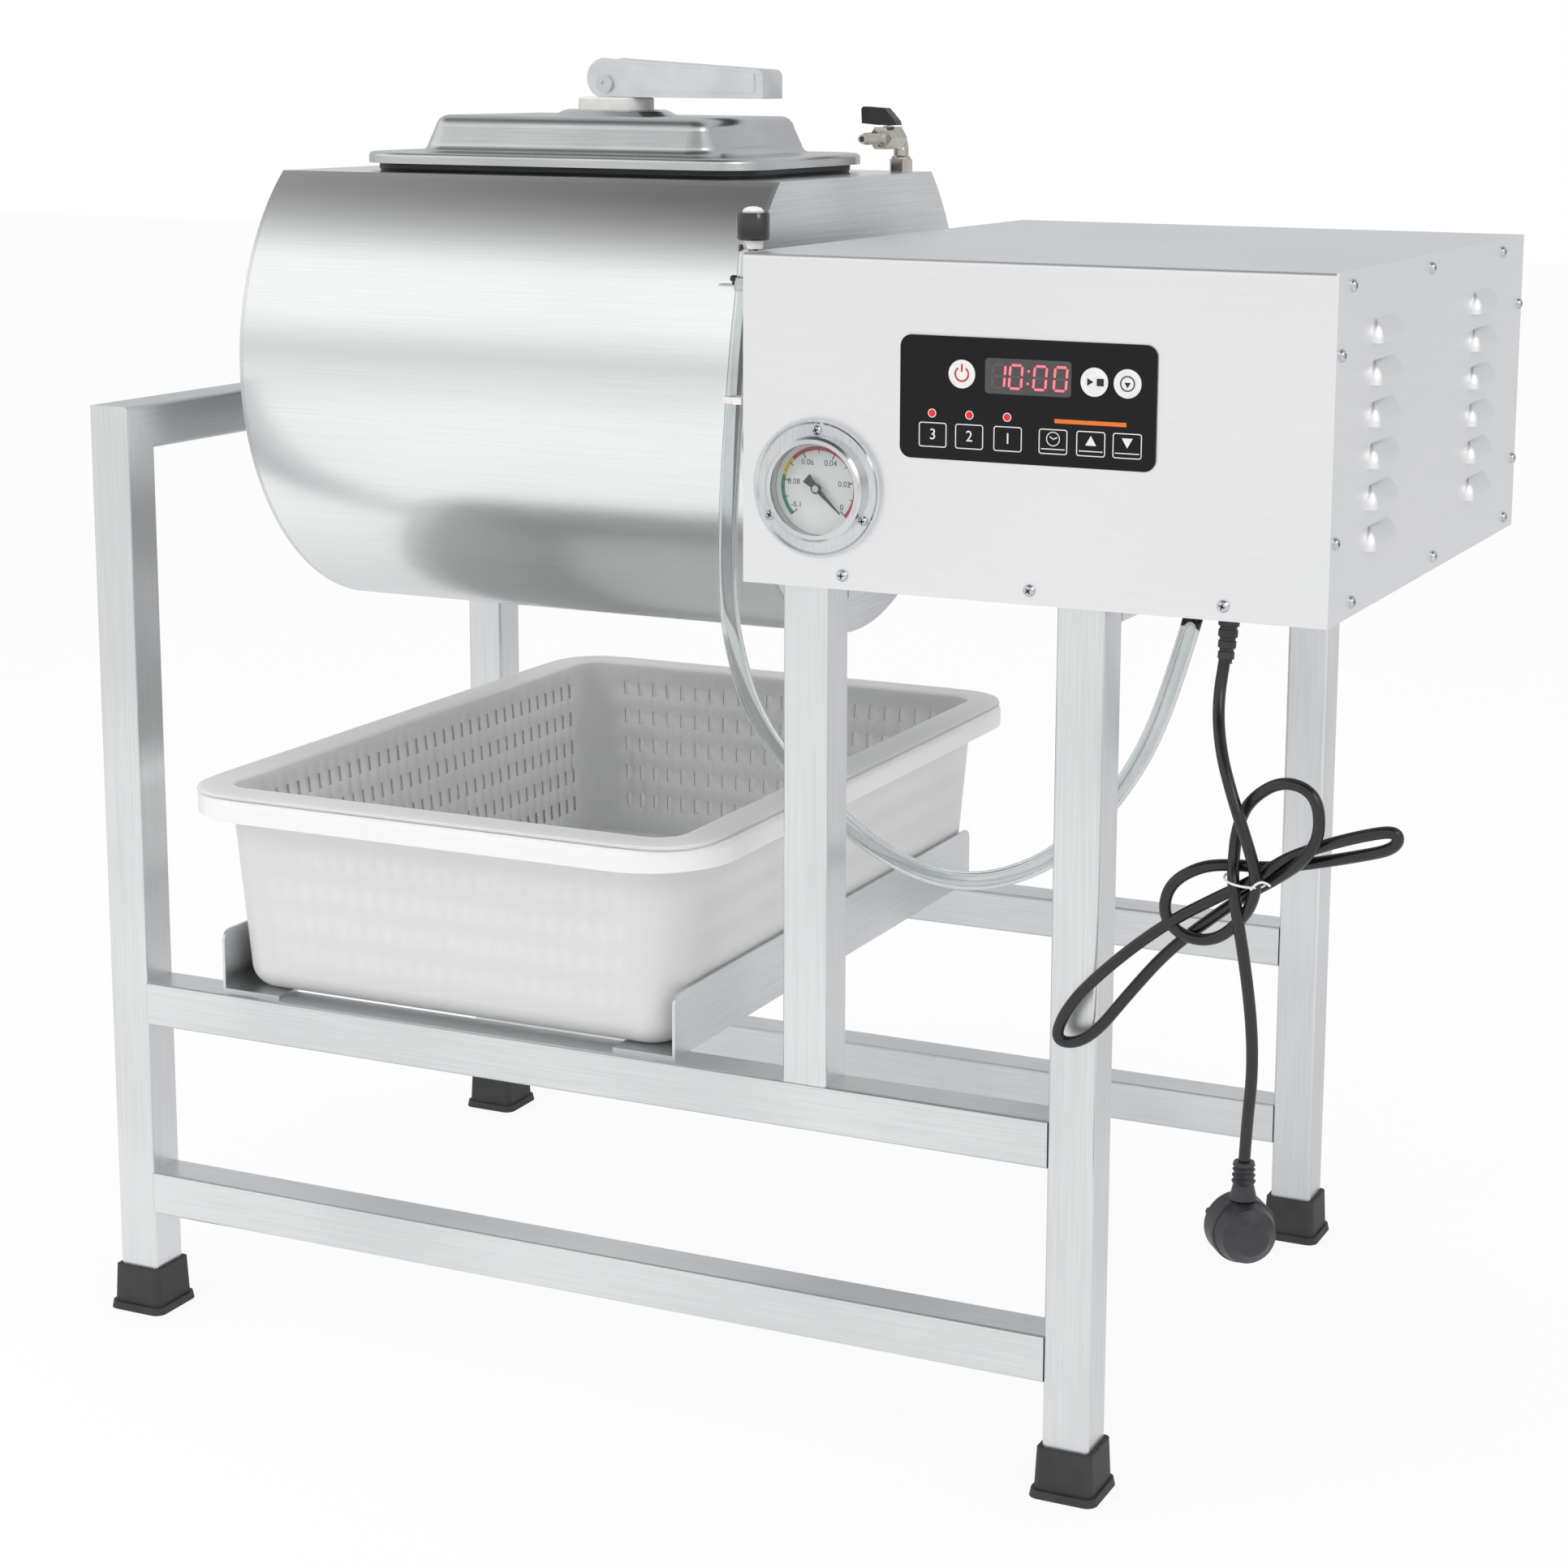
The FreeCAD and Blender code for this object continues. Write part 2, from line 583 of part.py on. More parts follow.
def drive():
    """A geared motor on an angle bracket, in line with the drum."""
    head_x, head_l, square = CAB_X + 64, 62.0, 90.0
    half = square / 2
    y, z = DRUM_Y, DRUM_Z
    plate_t = 5.0
    upright = block(head_x - plate_t, head_x, y - half - 6, y + half + 6, RIGHT_H + SHEET, z + half)
    sole = block(head_x, head_x + head_l, y - half - 6, y + half + 6, RIGHT_H + SHEET, RIGHT_H + SHEET + plate_t)
    bracket = fuse(upright, sole)
    nodes["motor_bracket"] = bracket.cut(rod(V(head_x - 10, y, z), X, 2 * OUTPUT_D + 10, 20))
    bore = rod(V(head_x - 1, y, z), X, OUTPUT_D + 2 * RUN_FIT, head_l - 8)
    head = block(head_x, head_x + head_l, y - half, y + half, z - half, z + half)
    head = head.makeFillet(8, [e for e in head.Edges if abs(e.tangentAt(0).x) > 0.9])
    nodes["gear_head"] = head.cut(bore)
    motor_x = head_x + head_l
    body = rod(V(motor_x, y, z), X, square - 2, 118)
    fins = [rod(V(motor_x + 24 + 9 * k, y, z), X, square + 5, 3) for k in range(8)]
    cowl = rod(V(motor_x + 100, y, z), X, square + 4, 34)
    nodes["gear_motor"] = fuse(body, cowl, *fins)


def right_bearing():
    """A flanged bearing inside the cabinet's left panel."""
    start = V(CAB_X + SHEET, DRUM_Y, DRUM_Z)
    bore = DRIVE_D / 2 + RUN_FIT
    housing = turned(start, X, [(bore, 0), (48, 0), (48, 9), (30, 12), (27, 24), (bore, 24)])
    nodes["right_bearing"] = housing


def vacuum_pump():
    """A twin head piston pump on four rubber mounts."""
    x, y, z = CAB_X + 150, 345.0, RIGHT_H + SHEET
    pads = [rod(V(x + dx, y + dy, z), Z, 16, 12) for dx in (10, 130) for dy in (12, 78)]
    bed = block(x, x + 140, y, y + 90, z + 12, z + 17)
    barrel = rod(V(x + 30, y + 45, z + 62), X, 84, 80)
    crank = [block(x + side, x + side + 30, y + 15, y + 75, z + 17, z + 100) for side in (2, 108)]
    heads = [block(x + side, x + side + 34, y + 18, y + 72, z + 100 + 8 * k, z + 104 + 8 * k)
             for side in (0, 106) for k in range(3)]
    cores = [block(x + side + 5, x + side + 27, y + 24, y + 66, z + 100, z + 124) for side in (0, 108)]
    nodes["vacuum_pump"] = fuse(bed, barrel, *pads, *crank, *heads, *cores)


def vacuum_line():
    """The line from the gauge's stem back to the pump's head."""
    start = V(GAUGE_X, GAUGE_DEPTH + 14 - SHEET, GAUGE_Z)
    pump = V(CAB_X + 150 + 17, 345.0 + 18, RIGHT_H + SHEET + 106)
    points = [start, start + V(2, 55, 4), V(GAUGE_X + 6, 150, 650), V(GAUGE_X + 20, 200, 712),
              V(GAUGE_X + 55, 265, 722), V(pump.x - 16, 322, 704), pump]
    nodes["vacuum_line"] = cord(points, 8.0, "vacuum line")


# Drum

def drum_bar(radius, x0, x1):
    return rod(V(x0, DRUM_Y, DRUM_Z), X, 2 * radius, x1 - x0)


def below_flat(shape, height):
    top = DRUM_Z + height
    return shape.cut(block(DRUM_X - 5, DRUM_END + 5, 0, FRAME_D, top, top + DRUM_R))


def drum_shell():
    x0, x1 = DRUM_X + END_PLATE, DRUM_END - END_PLATE
    wall = drum_bar(DRUM_R, x0, x1).cut(drum_bar(DRUM_R - DRUM_WALL, x0 - 1, x1 + 1))
    nodes["drum_wall"] = below_flat(wall, FLAT_H - FLAT_PLATE)
    plate = below_flat(drum_bar(DRUM_R, x0, x1), FLAT_H)
    plate = plate.common(block(x0, x1, 0, FRAME_D, FLAT_Z - FLAT_PLATE, FLAT_Z))
    centre = V(LID_X, DRUM_Y, FLAT_Z)
    half_x, half_y = OPENING[0] / 2 - OPENING_R, OPENING[1] / 2 - OPENING_R
    mouth = Part.Face(outline_wire(LID_X, DRUM_Y, FLAT_Z - FLAT_PLATE - 1, *OPENING, OPENING_R))
    plate = plate.cut(mouth.extrude(V(0, 0, FLAT_PLATE + 2)))
    band = section([(OPENING_R - COLLAR_T, -COLLAR_DOWN), (OPENING_R, -COLLAR_DOWN),
                    (OPENING_R, COLLAR_UP), (OPENING_R - COLLAR_T, COLLAR_UP)])
    plate = fuse(plate, ring(band, half_x, half_y, centre))
    nodes["drum_top_plate"] = plate.cut(rod(V(VALVE_X, VALVE_Y, FLAT_Z - 10), Z, 5.0, 20))
    for name, x in (("drum_left_end", DRUM_X), ("drum_right_end", DRUM_END - END_PLATE)):
        nodes[name] = below_flat(drum_bar(DRUM_R, x, x + END_PLATE), FLAT_H)


def baffles():
    """Three folded lifting ribs welded along the inside of the wall."""
    r = DRUM_R - DRUM_WALL
    sheet = 2.0
    x0 = DRUM_X + (DRUM_L - BAFFLE_L) / 2
    foot_r = math.sqrt(r ** 2 - (BAFFLE_W / 2) ** 2) - GAP
    ribs = []
    for angle in (0, 90, 180):
        half, tip = BAFFLE_W / 2, 6.0
        outer = [V(x0, -half, foot_r), V(x0, -tip, r - BAFFLE_H), V(x0, tip, r - BAFFLE_H),
                 V(x0, half, foot_r)]
        inner = [V(x0, half - sheet * 1.4, foot_r), V(x0, tip - sheet * 0.7, r - BAFFLE_H + sheet),
                 V(x0, -tip + sheet * 0.7, r - BAFFLE_H + sheet), V(x0, -half + sheet * 1.4, foot_r)]
        rib = face_of(outer + inner).extrude(V(BAFFLE_L, 0, 0))
        rib.rotate(V(0, 0, 0), X, 90 + angle)
        rib.translate(V(0, DRUM_Y, DRUM_Z))
        ribs.append(rib)
    nodes["drum_baffles"] = Part.makeCompound(ribs)


def shafts():
    axis_at = lambda x: V(x, DRUM_Y, DRUM_Z)
    stub_l = DRUM_X - 2.0
    nodes["left_stub_shaft"] = turned(axis_at(DRUM_X), -X, [
        (0, 0), (HUB_D / 2, 0), (HUB_D / 2, HUB_T - 1), (HUB_D / 2 - 1, HUB_T), (STUB_D / 2 + 4, HUB_T),
        (STUB_D / 2 + 4, HUB_T + 16), (STUB_D / 2, HUB_T + 18), (STUB_D / 2, stub_l - 1),
        (STUB_D / 2 - 1, stub_l), (0, stub_l)])
    shoulder = CAB_X + SHEET + 34 - DRUM_END
    end = CAB_X + 64 + 50 - DRUM_END
    nodes["drive_shaft"] = turned(axis_at(DRUM_END), X, [
        (0, 0), (HUB_D / 2, 0), (HUB_D / 2, HUB_T - 1), (HUB_D / 2 - 1, HUB_T), (DRIVE_D / 2 + 5, HUB_T),
        (DRIVE_D / 2 + 5, HUB_T + 14), (DRIVE_D / 2, HUB_T + 16), (DRIVE_D / 2, shoulder),
        (OUTPUT_D / 2, shoulder + 4), (OUTPUT_D / 2, end), (0, end)])


def left_bearing():
    """A pillow block on top of the left portal."""
    cx, half = TUBE / 2, 13.0
    z = DRUM_Z
    r_out = 21.0
    barrel = rod(V(cx - half, DRUM_Y, z), X, 2 * r_out, 2 * half)
    base = block(cx - half, cx + half, DRUM_Y - 48, DRUM_Y + 48, LEFT_H, LEFT_H + 11)
    cheeks = block(cx - half, cx + half, DRUM_Y - r_out, DRUM_Y + r_out, LEFT_H, z)
    pillow = fuse(barrel, base, cheeks).cut(block(cx - 20, cx + 20, 0, FRAME_D, LEFT_H - 20, LEFT_H))
    bore = rod(V(cx - 20, DRUM_Y, z), X, STUB_D + 2 * RUN_FIT, 40)
    holes = [rod(V(cx, y, LEFT_H - 1), Z, 8 + 2 * GAP, 20) for y in bearing_bolt_ys()]
    nodes["left_bearing"] = pillow.cut([bore] + holes)


def bearing_bolt_ys():
    return DRUM_Y - 35, DRUM_Y + 35


def bearing_bolt(y):
    foot = V(TUBE / 2, y, LEFT_H + 11)
    shank = rod(V(TUBE / 2, y, LEFT_H), Z, 8, 12)
    head = face_of([foot + V(7.5 * math.cos(a), 7.5 * math.sin(a), 0)
                    for a in (math.radians(60 * k) for k in range(6))]).extrude(V(0, 0, 5.5))
    return fuse(shank, head)


# Lid

def pan_profile():
    """The pressed pan's wall from the rim to the plateau, at the sheet's thickness."""
    t, rise, rim, r = LID_SHEET, LID_RISE, RIM_TOP, PAN_R
    top_r, foot_r = 10.0, PAN_R + 14
    outside = [(foot_r, rim), (r + 6, rim), ((r + 2, rim + 1.6), (r - 0.8, rim + 6)), (top_r + 2.2, rise - 8),
               ((top_r - 1.5, rise - 2), (top_r - 7, rise)), (0, rise)]
    inside = [(0, rise - t), (top_r - 7, rise - t), ((top_r - 2.3, rise - t - 1.7), (top_r + 0.8, rise - 8.3)),
              (r - 2.3, rim + 5.6), ((r + 0.9, rim + 0.3), (r + 6, rim - t)), (foot_r, rim - t)]
    return outside + inside


def rim_profile():
    """The lid's flat rim and its turned-down edge."""
    t, r, rim, low = LID_SHEET, LID_R, RIM_TOP, RIM_TOP - RIM_LIP
    return [(r - 26, rim - t), (r - 3, rim - t), ((r - t - 0.44, rim - t - 0.44), (r - t, rim - 3)), (r - t, low),
            (r, low), (r, rim - 3), ((r - 0.9, rim - 0.9), (r - 3, rim)), (r - 26, rim)]


def lid():
    centre = V(LID_X, DRUM_Y, FLAT_Z)
    half_x, half_y = PAN[0] / 2 - PAN_R, PAN[1] / 2 - PAN_R
    pan = ring(section(pan_profile()), half_x, half_y, centre)
    plateau = slab(half_x, half_y, LID_RISE - LID_SHEET, LID_RISE, centre)
    rim_x, rim_y = LID[0] / 2 - LID_R, LID[1] / 2 - LID_R
    rim = ring(section(rim_profile()), rim_x, rim_y, centre)
    top = centre + V(0, 0, LID_RISE)
    dome = turned(top, Z, [(0, -LID_SHEET), (BOSS_R, -LID_SHEET), (BOSS_R, 0), (BOSS_R - 6, BOSS_H - 1),
                           (BOSS_R - 9, BOSS_H), (0, BOSS_H)])
    under = turned(top, Z, [(0, -LID_SHEET - 1), (BOSS_R - 2, -LID_SHEET - 1), (BOSS_R - 2, -LID_SHEET),
                            (BOSS_R - 8, BOSS_H - 2.5), (BOSS_R - 10, BOSS_H - LID_SHEET),
                            (0, BOSS_H - LID_SHEET)])
    stud_hole = rod(centre, Z, STUD_D + 2 * STUD_FIT, 60)
    nodes["lid_pan"] = fuse(pan, plateau, rim, dome).cut([under, stud_hole])
    outer, thick = LID_R - 7, RIM_TOP - LID_SHEET
    seal = section([(outer - GASKET_W, 0), (outer - 1, 0), (outer, 2), (outer, thick), (outer - GASKET_W, thick)])
    nodes["lid_gasket"] = ring(seal, rim_x, rim_y, centre)
    bore = STUD_D / 2 + STUD_FIT
    nodes["lid_spacer"] = turned(V(LID_X, DRUM_Y, SPACER_Z), Z, [
        (bore, 0), (SPACER_R, 0), (SPACER_R, SPACER_H - 1), (SPACER_R - 1, SPACER_H), (bore, SPACER_H)])


def clamp():
    """The stud through the lid, with the eye for the lever's pin and the crossbar inside the drum."""
    pivot = V(LID_X, DRUM_Y, PIVOT_Z)
    bar_top = FLAT_Z - COLLAR_DOWN - BAR_DROP
    length, width, thick = BAR
    half_w = LEVER_W / 2 - LEVER_SHEET - GAP
    eye = rod(pivot - Y * half_w, Y, 2 * (PIN_D / 2 + 4), 2 * half_w)
    stem = rod(V(LID_X, DRUM_Y, bar_top - thick - 14), Z, STUD_D, PIVOT_Z - bar_top + thick + 14)
    bore = rod(pivot - Y * LEVER_W, Y, PIN_D, 2 * LEVER_W)
    nodes["clamp_stud"] = fuse(eye, stem).cut(bore)
    bar = block(LID_X - length / 2, LID_X + length / 2, DRUM_Y - width / 2, DRUM_Y + width / 2,
                bar_top - thick, bar_top)
    bar = bar.makeFillet(4, [e for e in bar.Edges if abs(e.tangentAt(0).z) > 0.9])
    bar = bar.cut(rod(V(LID_X, DRUM_Y, bar_top - thick - 1), Z, STUD_D, thick + 2))
    nut_at = V(LID_X, DRUM_Y, bar_top - thick - 9)
    nut = face_of([nut_at + V(9 * math.cos(a), 9 * math.sin(a), 0)
                   for a in (math.radians(60 * k) for k in range(6))]).extrude(V(0, 0, 8.7))
    nut = nut.cut(rod(nut_at - Z, Z, STUD_D, 12))
    nodes["clamp_bar"] = Part.makeCompound([bar, nut])
    side = LEVER_W / 2 + GAP
    pin = rod(pivot - Y * side, Y, PIN_D, 2 * side)
    heads = [rod(pivot + Y * s * side, Y * s, PIN_D + 4, 2.6) for s in (-1, 1)]
    socket = face_of([pivot - Y * (side + 2.7) + V(2.3 * math.cos(a), 0, 2.3 * math.sin(a))
                      for a in (math.radians(60 * k) for k in range(6))]).extrude(V(0, 1.8, 0))
    nodes["lever_pin"] = fuse(pin, *heads).cut(socket)


def cam_point(turn):
    """A point of the cam against a flat spacer: the support distance grows evenly with the turn."""
    rate = CAM_DRAW / (math.pi / 2)
    reach = CAM_LOW - CAM_GAP + rate * turn
    normal = V(-math.sin(turn), 0, -math.cos(turn))
    along = V(-math.cos(turn), 0, math.sin(turn))
    return normal * reach + along * rate


def lever():
    """A folded channel handle whose two cheeks end in cams round the pin."""
    pivot = V(LID_X, DRUM_Y, PIVOT_Z)
    steps = 6
    curve = Part.BSplineCurve()
    curve.interpolate([cam_point(math.pi / 2 * k / steps) for k in range(steps + 1)])
    low, left = cam_point(0), cam_point(math.pi / 2)
    top = V(2, 0, LEVER_H + low.z)
    crown = V(left.x * 0.74, 0, top.z * 0.78)
    tip_top = V(LEVER_L - 5, 0, LEVER_TIP_H + low.z + 0.5)
    tip = V(LEVER_L, 0, LEVER_TIP_H + low.z - 4.5)
    tip_low = V(LEVER_L, 0, low.z)
    edges = [curve.toShape(), Part.Arc(left, crown, top).toShape(), Part.LineSegment(top, tip_top).toShape(),
             Part.Arc(tip_top, V(LEVER_L - 1.4, 0, LEVER_TIP_H + low.z - 0.9), tip).toShape(),
             Part.LineSegment(tip, tip_low).toShape(), Part.LineSegment(tip_low, low).toShape()]
    solid = Part.Face(Part.Wire(edges)).extrude(V(0, LEVER_W, 0))
    inner_w = LEVER_W - 2 * LEVER_SHEET
    t = LEVER_SHEET
    pocket = face_of([V(-20, 0, low.z - 2), V(-20, 0, top.z + 5), V(4, 0, top.z + 5), V(12, 0, top.z - t),
                      tip_top - V(0, 0, t), V(LEVER_L - t, 0, tip.z - t), V(LEVER_L - t, 0, low.z - 2)])
    pocket = pocket.extrude(V(0, inner_w, 0)).translated(V(0, t, 0))
    pin_hole = rod(V(0, -1, 0), Y, PIN_D + 2 * RUN_FIT, LEVER_W + 2)
    grip_x, grip_t = 20.0, 1.0
    grips = [face_of([V(grip_x, y, low.z + 4), V(grip_x, y, top.z - 3.5), V(LEVER_L - 6, y, tip_top.z - 2.5),
                      V(LEVER_L - 6, y, low.z + 4)]).extrude(V(0, grip_t, 0)) for y in (-grip_t, LEVER_W)]
    channel = fuse(solid, *grips).cut([pocket, pin_hole])
    nodes["lid_lever"] = channel.translated(pivot - Y * (LEVER_W / 2))


# Valve

def hexagon(centre, axis, across):
    """A hexagonal face across the axis."""
    side = X if abs(axis.x) < 0.5 else Z
    up = axis.cross(side)
    radius = across / math.sqrt(3)
    return face_of([centre + side * radius * math.cos(a) + up * radius * math.sin(a)
                    for a in (math.radians(60 * k) for k in range(6))])


def valve():
    """An elbow screwed into the flat, a small ball valve with a hose barb, and its lever."""
    foot = V(VALVE_X, VALVE_Y, FLAT_Z)
    bend, pipe = 9.0, VALVE_PIPE
    turn_z = FLAT_Z + VALVE_RISE - bend
    nut = hexagon(foot, Z, VALVE_HEX).extrude(V(0, 0, 9.0))
    collar = turned(foot + Z * 9, Z, [(0, 0), (6.8, 0), (6.8, 1.5), (pipe / 2, 2.5), (0, 2.5)])
    riser = rod(foot + Z * 9, Z, pipe, turn_z - FLAT_Z - 9)
    circle = Part.Face(Part.Wire([Part.Circle(V(VALVE_X, VALVE_Y, turn_z), Z, pipe / 2).toShape()]))
    elbow = circle.revolve(V(VALVE_X, VALVE_Y - bend, turn_z), X, 90)
    nodes["valve_elbow"] = fuse(nut, collar, riser, elbow)
    start = V(VALVE_X, VALVE_Y - bend, FLAT_Z + VALVE_RISE)
    body = hexagon(start, -Y, VALVE_HEX).extrude(V(0, -27, 0))
    taper = turned(start - Y * 27, -Y, [(0, 0), (6.2, 0), (6.2, 4), (4.6, 7), (3.4, 13), (4.2, 13), (3.4, 18),
                                        (4.2, 18), (3.4, 23), (4.2, 23), (3, 30), (0, 30)])
    mouth = rod(start - Y * 58, Y, 3.8, 14)
    stem_at = start - Y * 13 + Z * (VALVE_HEX / 2)
    seat = rod(stem_at - Z * 2, Z, 7, 3)
    stem_hole = rod(stem_at - Z * 4, Z, 3 + 2 * GAP, 6)
    nodes["valve_body"] = fuse(body, taper, seat).cut([mouth, stem_hole])
    grip = stem_at + V(0, -5, 1 + GAP)
    wedge = face_of([grip + V(x, 0, z) for x, z in ((8, 0), (7, 3), (-1, 11.5), (-17, 12.5), (-18.5, 11),
                                                    (-18, 1), (-6, 0))]).extrude(V(0, 10, 0))
    stem = rod(stem_at - Z * 3.5, Z, 3, 8)
    nodes["valve_handle"] = fuse(wedge, stem)


# Tub and basket

def tub_profile(r, height, wall, bend, rim, drop):
    """The wall of an open tub: floor edge, bend, tapered side, and a rim turned out and, with a drop, down."""
    slope = TUB_TAPER / height
    top_r, reach, under, k = r + TUB_TAPER, r + TUB_TAPER + rim, height - wall, ARC_MID
    outside = [(0, 0), (r - bend, 0), ((r - bend * k, bend * k), (r + slope * bend, bend)), (top_r, under)]
    lip = [(reach - wall, under), (reach - wall, height - drop), (reach, height - drop)] if drop else []
    edge = [(reach, height - 3), ((reach - 0.9, height - 0.9), (reach - 3, height))] if drop else [
        (reach, under), (reach, height)]
    inside = [(top_r - wall + 1, height), (top_r - wall, height - 1), (r - wall + slope * bend, bend),
              ((r - wall - (bend - wall) * k, wall + (bend - wall) * k), (r - bend, wall)), (0, wall)]
    return outside + lip + edge + inside


def tub():
    half_x, half_y = TUB_BOTTOM[0] / 2 - TUB_R, TUB_BOTTOM[1] / 2 - TUB_R
    centre = V(TUB_X, TUB_Y, SHELF_Z)
    wall = ring(section(tub_profile(TUB_R, TUB_H, TUB_WALL, 14.0, RIM_W, RIM_DROP)), half_x, half_y, centre)
    nodes["outer_tub"] = fuse(wall, slab(half_x, half_y, 0, TUB_WALL, centre))


def basket():
    """The draining basket, hung in the tub by its rim."""
    lift = TUB_WALL + BASKET_GAP
    r = TUB_R - lift
    height = TUB_H - lift + BASKET_WALL + GAP
    half_x, half_y = TUB_BOTTOM[0] / 2 - TUB_R, TUB_BOTTOM[1] / 2 - TUB_R
    centre = V(TUB_X, TUB_Y, SHELF_Z + lift)
    wall = ring(section(tub_profile(r, height, BASKET_WALL, 12.0, RIM_W, 0)), half_x, half_y, centre)
    nodes["inner_basket"] = fuse(wall, slab(half_x, half_y, 0, BASKET_WALL, centre))


# Hose, power cord and fasteners

def hose():
    """The clear hose that serves the drum's valve, parked beside the cabinet with its connector up."""
    fx, fy = HOSE_FITTING
    fitting_z = CAB_BOTTOM - 8
    top = V(CAB_X - 6, 18, CAB_TOP + 3)
    points = [top, V(CAB_X - 7, 16, 726), V(CAB_X - 8, 11, 700), V(CAB_X - 10, 7, 655), V(CAB_X - 14, 7, 600),
              V(CAB_X - 16, 8, 555), V(CAB_X - 14, 10, 512), V(CAB_X - 4, 22, 460), V(506, 50, 412),
              V(548, 64, 372), V(602, 66, 357), V(654, 64, 374), V(692, 60, 408), V(722, 58, 450), V(740, 58, 496),
              V(fx, fy, fitting_z)]
    nodes["vacuum_hose"] = cord(points, HOSE_D, "hose")
    nodes["hose_connector"] = turned(top + X * 3, Z, [
        (0, 0), (8, 0), (10, 1.5), (10, 17), (8.5, 19), (4.5, 19), (4.5, 11), (0, 11)])
    base_r = HOSE_D / 2 + 2
    nodes["hose_fitting"] = turned(V(fx, fy, fitting_z), Z, [
        (0, 0), (base_r, 0), (base_r, 10), (10, 12), (10, RIGHT_H - fitting_z), (GROMMET_R, RIGHT_H - fitting_z),
        (GROMMET_R, RIGHT_H - fitting_z + 10), (0, RIGHT_H - fitting_z + 10)])


def power_cord():
    gx, gy = CORD_GLAND
    exit_z = CAB_BOTTOM + 4
    body = RIGHT_H - exit_z
    nodes["cord_gland"] = turned(V(gx, gy, exit_z), Z, [
        (0, 0), (7, 0), (10, 4), (10, body), (GROMMET_R, body), (GROMMET_R, body + 10), (0, body + 10)])
    upper = [V(gx, gy, exit_z), V(gx - 1, gy - 2, 530), V(gx - 4, 12, 486), V(gx + 1, 0, 446),
             V(806, HANK_Y, 412)]
    lower = [V(809, HANK_Y, 384), V(813, HANK_Y, 345), V(819, HANK_Y, 306), V(817, HANK_Y + 1, 268), PLUG_TOP]
    nodes["power_cord"] = Part.makeCompound([cord(upper, CORD_D, "cord above the hank"),
                                             cord(lower, CORD_D, "cord below the hank")])


def strip(start, end, width):
    """A flat loop of cord between two places, as thick as the hank."""
    along = end - start
    along.normalize()
    side = along.cross(Y) * (width / 2)
    outline = [start + side, end + side, (end + along * (width / 2), end - side), start - side,
               (start - along * (width / 2), start + side)]
    return face_of(outline).extrude(V(0, HANK_T, 0)).translated(V(0, -HANK_T / 2, 0))


def hank():
    """The tied bundle: a knot, two long loops and two round ones."""
    knot = V(810, HANK_Y, 402)
    loops = [strip(knot, V(889, HANK_Y, 434), 21), strip(knot, V(708, HANK_Y, 302), 24),
             strip(V(828, HANK_Y, 436), V(829, HANK_Y, 437), 52),
             strip(V(786, HANK_Y, 388), V(788, HANK_Y, 389), 44)]
    middle = strip(knot + V(0, 0, 14), knot - V(1, 0, 14), 24)
    nodes["cord_hank"] = fuse(middle, *loops)


def plug():
    """A round earthed plug whose cord enters from the top."""
    relief = turned(PLUG_TOP, -Z, [(0, 0), (6, 0), (6.5, 2), (5.2, 3), (6.6, 4.5), (5.4, 6.5), (6.8, 8), (5.6, 10),
                                   (7, 11.5), (6, 13.5), (8, 22), (0, 22)])
    facing = V(-0.6, 0.8, 0)
    centre = PLUG_TOP - Z * 41
    back_at = centre - facing * 4
    disc = turned(back_at, facing, [(0, 0), (19, 0), (19.5, 2), (19.5, 15), (18.5, 16), (0, 16)])
    back = turned(back_at, -facing, [(0, 0), (18.5, 0), (16, 9), (10, 14), (0, 15)])
    pins = [rod(centre + facing * 10 + V(0.8, 0.6, 0) * s, facing, 4.8, 21) for s in (-9.5, 9.5)]
    nodes["power_plug"] = fuse(relief, disc, back, *pins)


def hose_clips():
    """A saddle on the cabinet's side and a tie lower down the hose."""
    rings = []
    inside, thick = HOSE_D / 2, 1.2
    for x, y, z, wide in ((CAB_X - 7.2, 16, 724, 8), (CAB_X - 10, 7.2, 657, 4)):
        band = turned(V(x, y, z), Z, [(inside, 0), (inside + thick, 0), (inside + thick, wide), (inside, wide)])
        tab = block(x, CAB_X, y - inside - thick, y - inside, z, z + wide)
        rings.append(fuse(band, tab))
    nodes["hose_clips"] = Part.makeCompound(rings)


def fasteners():
    parts = [screw(p, Y) for p in front_screw_points()]
    parts += [screw(p, Y, SMALL_HEAD_D) for p in gauge_screw_spots()]
    parts += [screw(p, -X) for p in cover_screw_points()]
    parts += [screw(p, -Y) for p in back_screw_points()]
    parts += [bearing_bolt(y) for y in bearing_bolt_ys()]
    nodes["fasteners"] = Part.makeCompound(parts)


def build():
    for make in (left_portal, other_legs, rails, feet, brackets, cabinet_shell, right_cover, left_panel,
                 back_panel, base_plate, gauge, control_panel, drive, right_bearing, vacuum_pump, vacuum_line,
                 drum_shell, baffles, shafts, left_bearing, lid, clamp, lever, valve, tub, basket, hose,
                 power_cord, hank, plug, hose_clips, fasteners):
        make()


def write():
    """Move every node to the row frame, whose zero is below the middle of the object, and write it."""
    loose = ("vacuum_hose", "hose_connector", "hose_clips", "power_cord", "cord_hank", "power_plug")
    boxes = [shape.optimalBoundingBox(False) for name, shape in nodes.items() if name not in loose]
    mid_x = (min(b.XMin for b in boxes) + max(b.XMax for b in boxes)) / 2
    mid_y = (min(b.YMin for b in boxes) + max(b.YMax for b in boxes)) / 2
    print("row frame zero at", round(mid_x, 3), round(mid_y, 3), "in the corner frame")
    os.makedirs("parts", exist_ok=True)
    for name, shape in nodes.items():
        shape.translated(V(-mid_x, -mid_y, 0)).exportStep(f"parts/{name}.step")
    print(len(nodes), "nodes")


build()
write()
